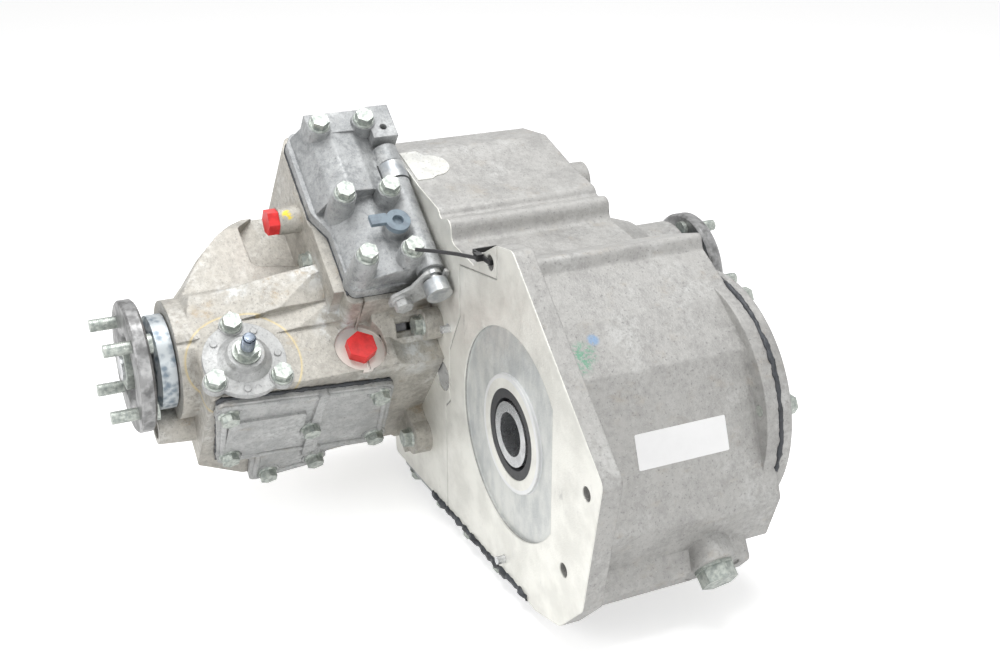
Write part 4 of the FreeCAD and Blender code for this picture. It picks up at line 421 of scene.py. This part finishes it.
# %% Growing a tree's result
class Growth:
    """One Geometry Nodes tree with named inputs."""

    def __init__(self, name, **inputs):
        self.tree = bpy.data.node_groups.new(name, "GeometryNodeTree")
        kinds = {float: "NodeSocketFloat", int: "NodeSocketInt", str: "NodeSocketMaterial"}
        self.tree.interface.new_socket("Geometry", in_out="INPUT", socket_type="NodeSocketGeometry")
        self.tree.interface.new_socket("Geometry", in_out="OUTPUT", socket_type="NodeSocketGeometry")
        self.ids = {}
        for key, kind in inputs.items():
            socket = self.tree.interface.new_socket(key, in_out="INPUT", socket_type=kinds[kind])
            self.ids[key] = socket.identifier
        self.start = self.tree.nodes.new("NodeGroupInput")
        self.end = self.tree.nodes.new("NodeGroupOutput")

    def node(self, kind, settings=None, **links):
        made = self.tree.nodes.new(kind)
        for key, value in (settings or {}).items():
            setattr(made, key, value)
        for key, value in links.items():
            target = made.inputs[key.replace("_", " ")]
            if isinstance(value, bpy.types.NodeSocket):
                self.tree.links.new(value, target)
            else:
                target.default_value = value
        return made

    def finish(self, geometry):
        solid = self.node("GeometryNodeRealizeInstances", Geometry=geometry)
        painted = self.node("GeometryNodeSetMaterial", Geometry=solid.outputs[0],
                            Material=self.start.outputs["Finish"])
        self.tree.links.new(painted.outputs[0], self.end.inputs[0])

    def grow(self, name, source, body, slot, **values):
        """Runs the tree on a curve or mesh and leaves one plain mesh that rides on a body."""
        carrier = bpy.data.objects.new(name + "_carrier", source)
        bpy.context.collection.objects.link(carrier)
        modifier = carrier.modifiers.new("growth", "NODES")
        modifier.node_group = self.tree
        for key, value in values.items():
            modifier[self.ids[key]] = value
        graph = bpy.context.evaluated_depsgraph_get()
        mesh = bpy.data.meshes.new_from_object(carrier.evaluated_get(graph))
        bpy.data.objects.remove(carrier)
        mesh.name = name
        piece = bpy.data.objects.new(name, mesh)
        bpy.context.collection.objects.link(piece)
        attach(piece, body)
        print(name, "triangles:", sum(len(p.vertices) - 2 for p in mesh.polygons))
        return piece


def path(name, points, closed=False):
    """A straight-line curve through points given in metres."""
    curve = bpy.data.curves.new(name, "CURVE")
    curve.dimensions = "3D"
    spline = curve.splines.new("POLY")
    spline.points.add(len(points) - 1)
    for spot, place in zip(spline.points, points):
        spot.co = (*place, 1.0)
    spline.use_cyclic_u = closed
    return curve


print("growth helpers ready")

# %% [markdown]
# ## Sealant squeezed out of the joints
# The covers are set in black sealant, and when the bolts pull them down some of it creeps out in an uneven
# bead. A bead is a thin tube along the joint, and noise pushes its skin in and out to make it lumpy.

# %% Sealant beads
bead = Growth("sealant_bead", Thickness=float, Lumps=float, Spacing=float, Waviness=float, Finish=str)
steps = bead.node("GeometryNodeResampleCurve", {"mode": "LENGTH"}, Curve=bead.start.outputs["Geometry"],
                  Length=bead.start.outputs["Spacing"])
ring = bead.node("GeometryNodeCurvePrimitiveCircle", Resolution=8, Radius=bead.start.outputs["Thickness"])
skin = bead.node("GeometryNodeCurveToMesh", Curve=steps.outputs[0], Profile_Curve=ring.outputs[0],
                 Fill_Caps=True)
lumps = bead.node("ShaderNodeTexNoise", Scale=bead.start.outputs["Waviness"], Detail=2.0)
centred = bead.node("ShaderNodeMath", {"operation": "SUBTRACT"}, Value=lumps.outputs["Fac"])
centred.inputs[1].default_value = 0.5
push = bead.node("ShaderNodeMath", {"operation": "MULTIPLY"}, Value=centred.outputs[0])
bead.tree.links.new(bead.start.outputs["Lumps"], push.inputs[1])
normal = bead.node("GeometryNodeInputNormal")
offset = bead.node("ShaderNodeVectorMath", {"operation": "SCALE"}, Vector=normal.outputs[0],
                   Scale=push.outputs[0])
shifted = bead.node("GeometryNodeSetPosition", Geometry=skin.outputs[0], Offset=offset.outputs[0])
smooth = bead.node("GeometryNodeSetShadeSmooth", Geometry=shifted.outputs[0])
bead.finish(smooth.outputs[0])


def run_bead(name, points, closed, thickness, lumps, body="case"):
    return bead.grow(name, path(name, points, closed), body, "seal_rubber", Thickness=thickness * MM,
                     Lumps=lumps * MM, Spacing=1.6 * MM, Waviness=130.0, Finish=sealant.material)


COVER_R, COVER_JOINT_Y = 98.0, 172.4
turns = [math.radians(3 * k) for k in range(120)]
barrel_ring = [Vector((COVER_R * math.cos(a), COVER_JOINT_Y, COVER_R * math.sin(a))) * MM for a in turns]
run_bead("barrel_cover_sealant", barrel_ring, True, 2.0, 5.0)
SIDE_EDGE = ((-178, -166), (-187, -64), (-184, -60.5), (-46, -80), (-41, -85), (-31, -180))
run_bead("side_cover_sealant", [leaned(-102.8, y, n + 0.6) for y, n in SIDE_EDGE], False, 1.5, 4.6)
TOP_EDGE = ((-308, -20), (-307.5, -74), (-304, -81), (-297, -84), (-229, -84), (-209, -74), (-154, -74))
run_bead("top_housing_sealant", [leaned(u, y, -24.6) for u, y in TOP_EDGE], False, 1.1, 1.6)
SUMP_JOINT_Z = -124.9
sump_edge = [Vector((x, 0.8, SUMP_JOINT_Z)) * MM for x in range(-150, 34, 6)]
run_bead("sump_sealant_front", sump_edge, False, 3.0, 8.0)
sump_back = [Vector((x, 137.0, -124.4)) * MM for x in range(-228, 16, 6)]
run_bead("sump_sealant_rear", sump_back, False, 1.4, 4.0)

# %% [markdown]
# ## Screw threads
# The flange studs and the diff lock spindle show their threads. A thread is one spiral ridge. The tree
# sweeps a four-sided section along a spiral and puts a copy of it on each stud's axis.

# %% Threads
thread = Growth("stud_thread", Radius=float, Ridge=float, Reach=float, Turns=float, Finish=str)
coil = thread.node("GeometryNodeCurveSpiral", Resolution=18, Rotations=thread.start.outputs["Turns"],
                   Start_Radius=thread.start.outputs["Radius"], End_Radius=thread.start.outputs["Radius"],
                   Height=thread.start.outputs["Reach"])
section = thread.node("GeometryNodeCurvePrimitiveCircle", Resolution=4, Radius=thread.start.outputs["Ridge"])
ridge = thread.node("GeometryNodeCurveToMesh", Curve=coil.outputs[0], Profile_Curve=section.outputs[0],
                    Fill_Caps=True)
copies = thread.node("GeometryNodeInstanceOnPoints", Points=thread.start.outputs["Geometry"],
                     Instance=ridge.outputs[0])
way_up = thread.node("GeometryNodeInputNormal")
aim = thread.node("FunctionNodeAlignRotationToVector", {"axis": "Z"}, Vector=way_up.outputs[0])
thread.tree.links.new(aim.outputs[0], copies.inputs["Rotation"])
thread.finish(copies.outputs[0])


def stud_points(name, places, way):
    """Loose points whose normals give the way that each thread climbs."""
    mesh = bpy.data.meshes.new(name)
    bm = bmesh.new()
    for place in places:
        side = way.orthogonal().normalized() * 0.00005
        other = way.cross(side).normalized() * 0.00005
        corners = (place + side, place + other, place - side - other)
        bm.faces.new([bm.verts.new(corner) for corner in corners])
    bm.normal_update()
    backward = [face for face in bm.faces if face.normal.dot(way) < 0]
    bmesh.ops.reverse_faces(bm, faces=backward)
    bm.to_mesh(mesh)
    bm.free()
    return mesh


def threads(name, places, way, body, radius, ridge_size, reach, pitch, metal=zinc):
    return thread.grow(name, stud_points(name, places, way), body, "zinc_bolt", Radius=radius * MM,
                       Ridge=ridge_size * MM, Reach=reach * MM, Turns=reach / pitch, Finish=metal.material)


def ring_of_studs(first_angle):
    """The four studs of a flange, as places about the output axis."""
    angles = [math.radians(first_angle + 90 * k) for k in range(4)]
    return [OUTPUT_AXIS + Vector((math.cos(a), 0.0, math.sin(a))) * (39.7 * MM) for a in angles]


FORWARD, REARWARD = Vector((0, -1, 0)), Vector((0, 1, 0))
front_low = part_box("front_flange")[0].y
rear_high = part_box("rear_flange")[1].y
front_studs = [Vector((p.x, front_low - 0.003, p.z)) for p in ring_of_studs(45.0)]
rear_studs = [Vector((p.x, rear_high + 0.003, p.z)) for p in ring_of_studs(0.0)]
threads("front_stud_threads", front_studs, FORWARD, "front_output", 4.8, 0.42, 16.0, 1.5)
threads("rear_stud_threads", rear_studs, REARWARD, "rear_output", 4.8, 0.42, 16.0, 1.5)

# %% [markdown]
# ## The raised work on the side cover
# The side cover is a die casting with a raised border and ribs across it, which stiffen the thin plate. All
# are low ridges with sloping flanks. The same idea as the sealant makes them: a section swept along a line,
# here a half buried eight-sided bar with hardly any lumps.

# %% Ribs of the side cover
COVER_FACE = -98.2
BORDER = ((-182, -68), (-184, -66), (-50, -86), (-46, -92), (-37, -172), (-40, -176), (-90, -171),
          (-92, -196), (-96, -199), (-140, -206), (-142, -202), (-144, -162), (-148, -158),
          (-172, -158), (-175, -154))
RIB_LINES = {"cover_border": (BORDER, True, 2.6),
             "cover_middle_rib": (((-101, -78), (-96, -172)), False, 3.4),
             "cover_cross_rib": (((-172, -158), (-92, -168)), False, 2.6),
             "cover_low_rib": (((-92, -168), (-93, -196)), False, 2.4)}
for name, (line, closed, size) in RIB_LINES.items():
    spots = [leaned(COVER_FACE, y, n) for y, n in line]
    bead.grow(name, path(name, spots, closed), "case", "cast_cover", Thickness=size * MM, Lumps=0.25 * MM,
              Spacing=2.5 * MM, Waviness=60.0, Finish=cover_cast.material)

# %% [markdown]
# ## Seams of the front housing
# The drawing of the front housing has a fault: a slit two millimetres wide, open into the housing, runs from
# the plug's machined spot up to the selector housing. The raised seam made here only lies over it. It looks
# like the line where the halves of a mould met, and the solid below is still open. A small burr runs round
# the machined spot. Both are swept with the tree that made the sealant, nearly without lumps.

# %% Seam and burr
PLUG_U, PLUG_Y, PLUG_N, SPOT_RADIUS, SEAM_Y = -124.6, -66.0, -63.0, 21.0, -63.3
seam = [leaned(-149.4, SEAM_Y, -25.5), leaned(-143.8, SEAM_Y, PLUG_N + 0.4),
        leaned(-106.0, SEAM_Y, PLUG_N - 0.3)]
burr = [leaned(PLUG_U + SPOT_RADIUS * math.cos(a), PLUG_Y + SPOT_RADIUS * math.sin(a), PLUG_N - 0.2)
        for a in (math.radians(6 * k) for k in range(60))]
for name, line, closed, size in (("casting_seam", seam, False, 1.1), ("spotface_burr", burr, True, 0.8)):
    bead.grow(name, path(name, line, closed), "case", "cast_case", Thickness=size * MM, Lumps=0.2 * MM,
              Spacing=2.0 * MM, Waviness=90.0, Finish=front_cast.material)

# %% [markdown]
# ## The spindle's stud
# The diff lock spindle ends in a threaded stud that stands out of its nut. A turned core carries the same
# spiral ridge as the flange studs.

# %% Spindle stud
blued = steel("blued_stud", tone(0.30, 0.34, 0.40), tone(0.12, 0.14, 0.17), 0.34)
UP_N = Vector((math.sin(TILT), 0.0, math.cos(TILT)))
stud_foot = leaned(-129.0, -160.3, -33.6)
STUD_REACH = 15.0
bm = bmesh.new()
bmesh.ops.create_cone(bm, cap_ends=True, segments=24, radius1=4.4 * MM, radius2=4.0 * MM,
                      depth=STUD_REACH * MM)
top_edges = [e for e in bm.edges if all(v.co.z > 0 for v in e.verts)]
bmesh.ops.bevel(bm, geom=top_edges, offset=0.7 * MM, segments=2, affect="EDGES")
tilt = UP_N.to_track_quat("Z", "Y").to_matrix().to_4x4()
bm.transform(Matrix.Translation(stud_foot + UP_N * (STUD_REACH * MM / 2)) @ tilt)
mesh = bpy.data.meshes.new("spindle_stud")
bm.to_mesh(mesh)
bm.free()
mesh.materials.append(blued.material)
stud = bpy.data.objects.new("spindle_stud", mesh)
bpy.context.collection.objects.link(stud)
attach(stud, "diff_lock_spindle_body")
threads("spindle_threads", [stud_foot], UP_N, "diff_lock_spindle_body", 4.9, 0.5, 13.5, 1.5, blued)

# %% [markdown]
# ## The machined pad and the label
# The top of the case carries a keyhole-shaped machined pad. The barrel carries a plain white label. Each is
# a thin plate laid on its facet: an outline is filled, given a thickness and its edge rounded.

# %% Thin plates on facets
def thin_plate(name, corner, along, across, outline, thick, finish, body="case", lift=0.0):
    """A plate whose outline is given in millimetres along two directions from one corner of its facet."""
    along, across = along.normalized(), across.normalized()
    out = along.cross(across).normalized()
    bm = bmesh.new()
    low = [bm.verts.new(corner + (along * a + across * b) * MM + out * (lift * MM)) for a, b in outline]
    face = bm.faces.new(low)
    rise = bmesh.ops.extrude_face_region(bm, geom=[face])
    lifted = [v for v in rise["geom"] if isinstance(v, bmesh.types.BMVert)]
    bmesh.ops.translate(bm, verts=lifted, vec=out * (thick * MM))
    bmesh.ops.recalc_face_normals(bm, faces=bm.faces)
    mesh = bpy.data.meshes.new(name)
    bm.to_mesh(mesh)
    bm.free()
    mesh.materials.append(finish.material)
    piece = bpy.data.objects.new(name, mesh)
    bpy.context.collection.objects.link(piece)
    rounding = piece.modifiers.new("edge", "BEVEL")
    rounding.width, rounding.segments = thick * 0.35 * MM, 2
    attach(piece, body)
    return piece


def rounded(width, depth, radius, steps=6):
    """A rectangle with round corners, as outline points."""
    points = []
    for cx, cy, start in ((width - radius, radius, -90), (width - radius, depth - radius, 0),
                          (radius, depth - radius, 90), (radius, radius, 180)):
        for k in range(steps + 1):
            a = math.radians(start + 90.0 * k / steps)
            points.append((cx + radius * math.cos(a), cy + radius * math.sin(a)))
    return points


pad_finish = cast_finish("machined_pad", tone(0.74, 0.74, 0.70), tone(0.62, 0.62, 0.59),
                         0.5, 0.15, 0.10, 0.3, 0.42)
TOP_A, TOP_B = Vector((-217.0, 0.0, 161.0)) * MM, Vector((-168.0, 0.0, 146.0)) * MM
slope = TOP_B - TOP_A
keyhole = [(2, 3), (44, 3), (44, 16), (40, 22)]
EYE_CENTRE, EYE_RADIUS = (25, 22), 15.5
for degrees in range(0, 181, 15):
    a = math.radians(degrees)
    keyhole.append((EYE_CENTRE[0] + EYE_RADIUS * math.cos(a), EYE_CENTRE[1] + EYE_RADIUS * math.sin(a)))
keyhole += [(2, 18)]
thin_plate("keyhole_pad", TOP_A, slope, REARWARD, keyhole, 0.8, pad_finish, lift=-0.1)
paper = Finish("white_label")
crinkle = paper.grain(90.0, 3.0)
paper.set(Base_Color=paper.mix(tone(0.93, 0.93, 0.93), tone(0.95, 0.95, 0.95), crinkle.soft(0.35, 0.6)))
paper.set(Roughness=crinkle.soft(0.3, 0.7, 0.34, 0.44))
paper.bump(crinkle, 0.05 * MM, 0.4)
BARREL_A, BARREL_B = Vector((64.2, 0.0, 63.7)) * MM, Vector((103.7, 0.0, -42.5)) * MM
down = (BARREL_B - BARREL_A).normalized()
label_corner = BARREL_A + down * (43.5 * MM) + Vector((0, 58 * MM, 0))
label = rounded(26.0, 76.0, 1.2)
thin_plate("plain_label", label_corner, down, REARWARD, label, 0.16, paper, lift=0.02)
print("plates laid")

# %% [markdown]
# ## Floor, light and camera
# A plain pale floor and large soft lamps show the metal as it is. The floor and the world are white only to
# the camera and to reflections, so the light on the part itself stays plain.

# %% Studio
def seen_directly(tree):
    """One for a ray from the camera, a mirror or a clear piece, and nothing for the light on the part."""
    rays = tree.nodes.new("ShaderNodeLightPath")
    level = rays.outputs["Is Camera Ray"]
    for kind in ("Is Glossy Ray", "Is Transmission Ray"):
        either = tree.nodes.new("ShaderNodeMath")
        either.operation = "MAXIMUM"
        tree.links.new(level, either.inputs[0])
        tree.links.new(rays.outputs[kind], either.inputs[1])
        level = either.outputs[0]
    return level


def glow(tree, seen, unseen, target):
    """Feeds a strength that differs between what is seen directly and what lights the part."""
    blend = tree.nodes.new("ShaderNodeMapRange")
    blend.inputs["To Min"].default_value = unseen
    blend.inputs["To Max"].default_value = seen
    tree.links.new(seen_directly(tree), blend.inputs["Value"])
    tree.links.new(blend.outputs[0], target)


FLOOR_GLOW, SKY_LIGHT = 0.52, 0.42
bpy.ops.mesh.primitive_plane_add(size=30.0, location=(0, 0, cad_low.z))
ground = bpy.context.object
ground.name = "studio_floor"
pale_floor = Finish("studio_floor")
pale_floor.set(Base_Color=tone(0.84, 0.84, 0.84), Roughness=0.95, Emission_Color=tone(1, 1, 1))
glow(pale_floor.tree, FLOOR_GLOW, 0.0, pale_floor.surface.inputs["Emission Strength"])
ground.data.materials.append(pale_floor.material)
world = bpy.data.worlds.new("studio")
bpy.context.scene.world = world
world.use_nodes = True
sky = world.node_tree.nodes["Background"]
sky.inputs["Color"].default_value = tone(1, 1, 1)
glow(world.node_tree, 1.0, SKY_LIGHT, sky.inputs["Strength"])
print("floor at", round(cad_low.z, 4))


def soft_lamp(name, place, target, size, watts):
    lamp = bpy.data.lights.new(name, "AREA")
    lamp.shape, lamp.size, lamp.energy = "DISK", size, watts
    holder = bpy.data.objects.new(name, lamp)
    bpy.context.collection.objects.link(holder)
    holder.location = place
    holder.rotation_euler = (Vector(target) - Vector(place)).to_track_quat("-Z", "Y").to_euler()
    return holder


centre = (cad_low + cad_high) / 2
soft_lamp("overhead_lamp", (-0.2, 0.0, 1.8), centre, 1.4, 26.0)
soft_lamp("front_lamp", (0.2, -1.6, 0.8), centre, 0.9, 11.0)
soft_lamp("side_lamp", (1.7, 0.3, 0.5), centre, 0.9, 6.0)

camera = bpy.data.cameras.new("camera")
camera.lens, camera.sensor_width = 48.894, 36.0
camera.clip_start, camera.clip_end = 0.02, 50.0
eye = bpy.data.objects.new("camera", camera)
bpy.context.collection.objects.link(eye)
right = Vector((0.4349, 0.9005, 0.0))
up = Vector((-0.3478, 0.1680, 0.9224))
back = Vector((0.8306, -0.4012, 0.3862))
turned = Matrix((right, up, back)).transposed()
eye.rotation_euler = turned.to_euler()
eye.location = (0.80577, -0.39740, 0.45638)
bpy.context.scene.camera = eye
bpy.context.scene.view_settings.view_transform = "Standard"
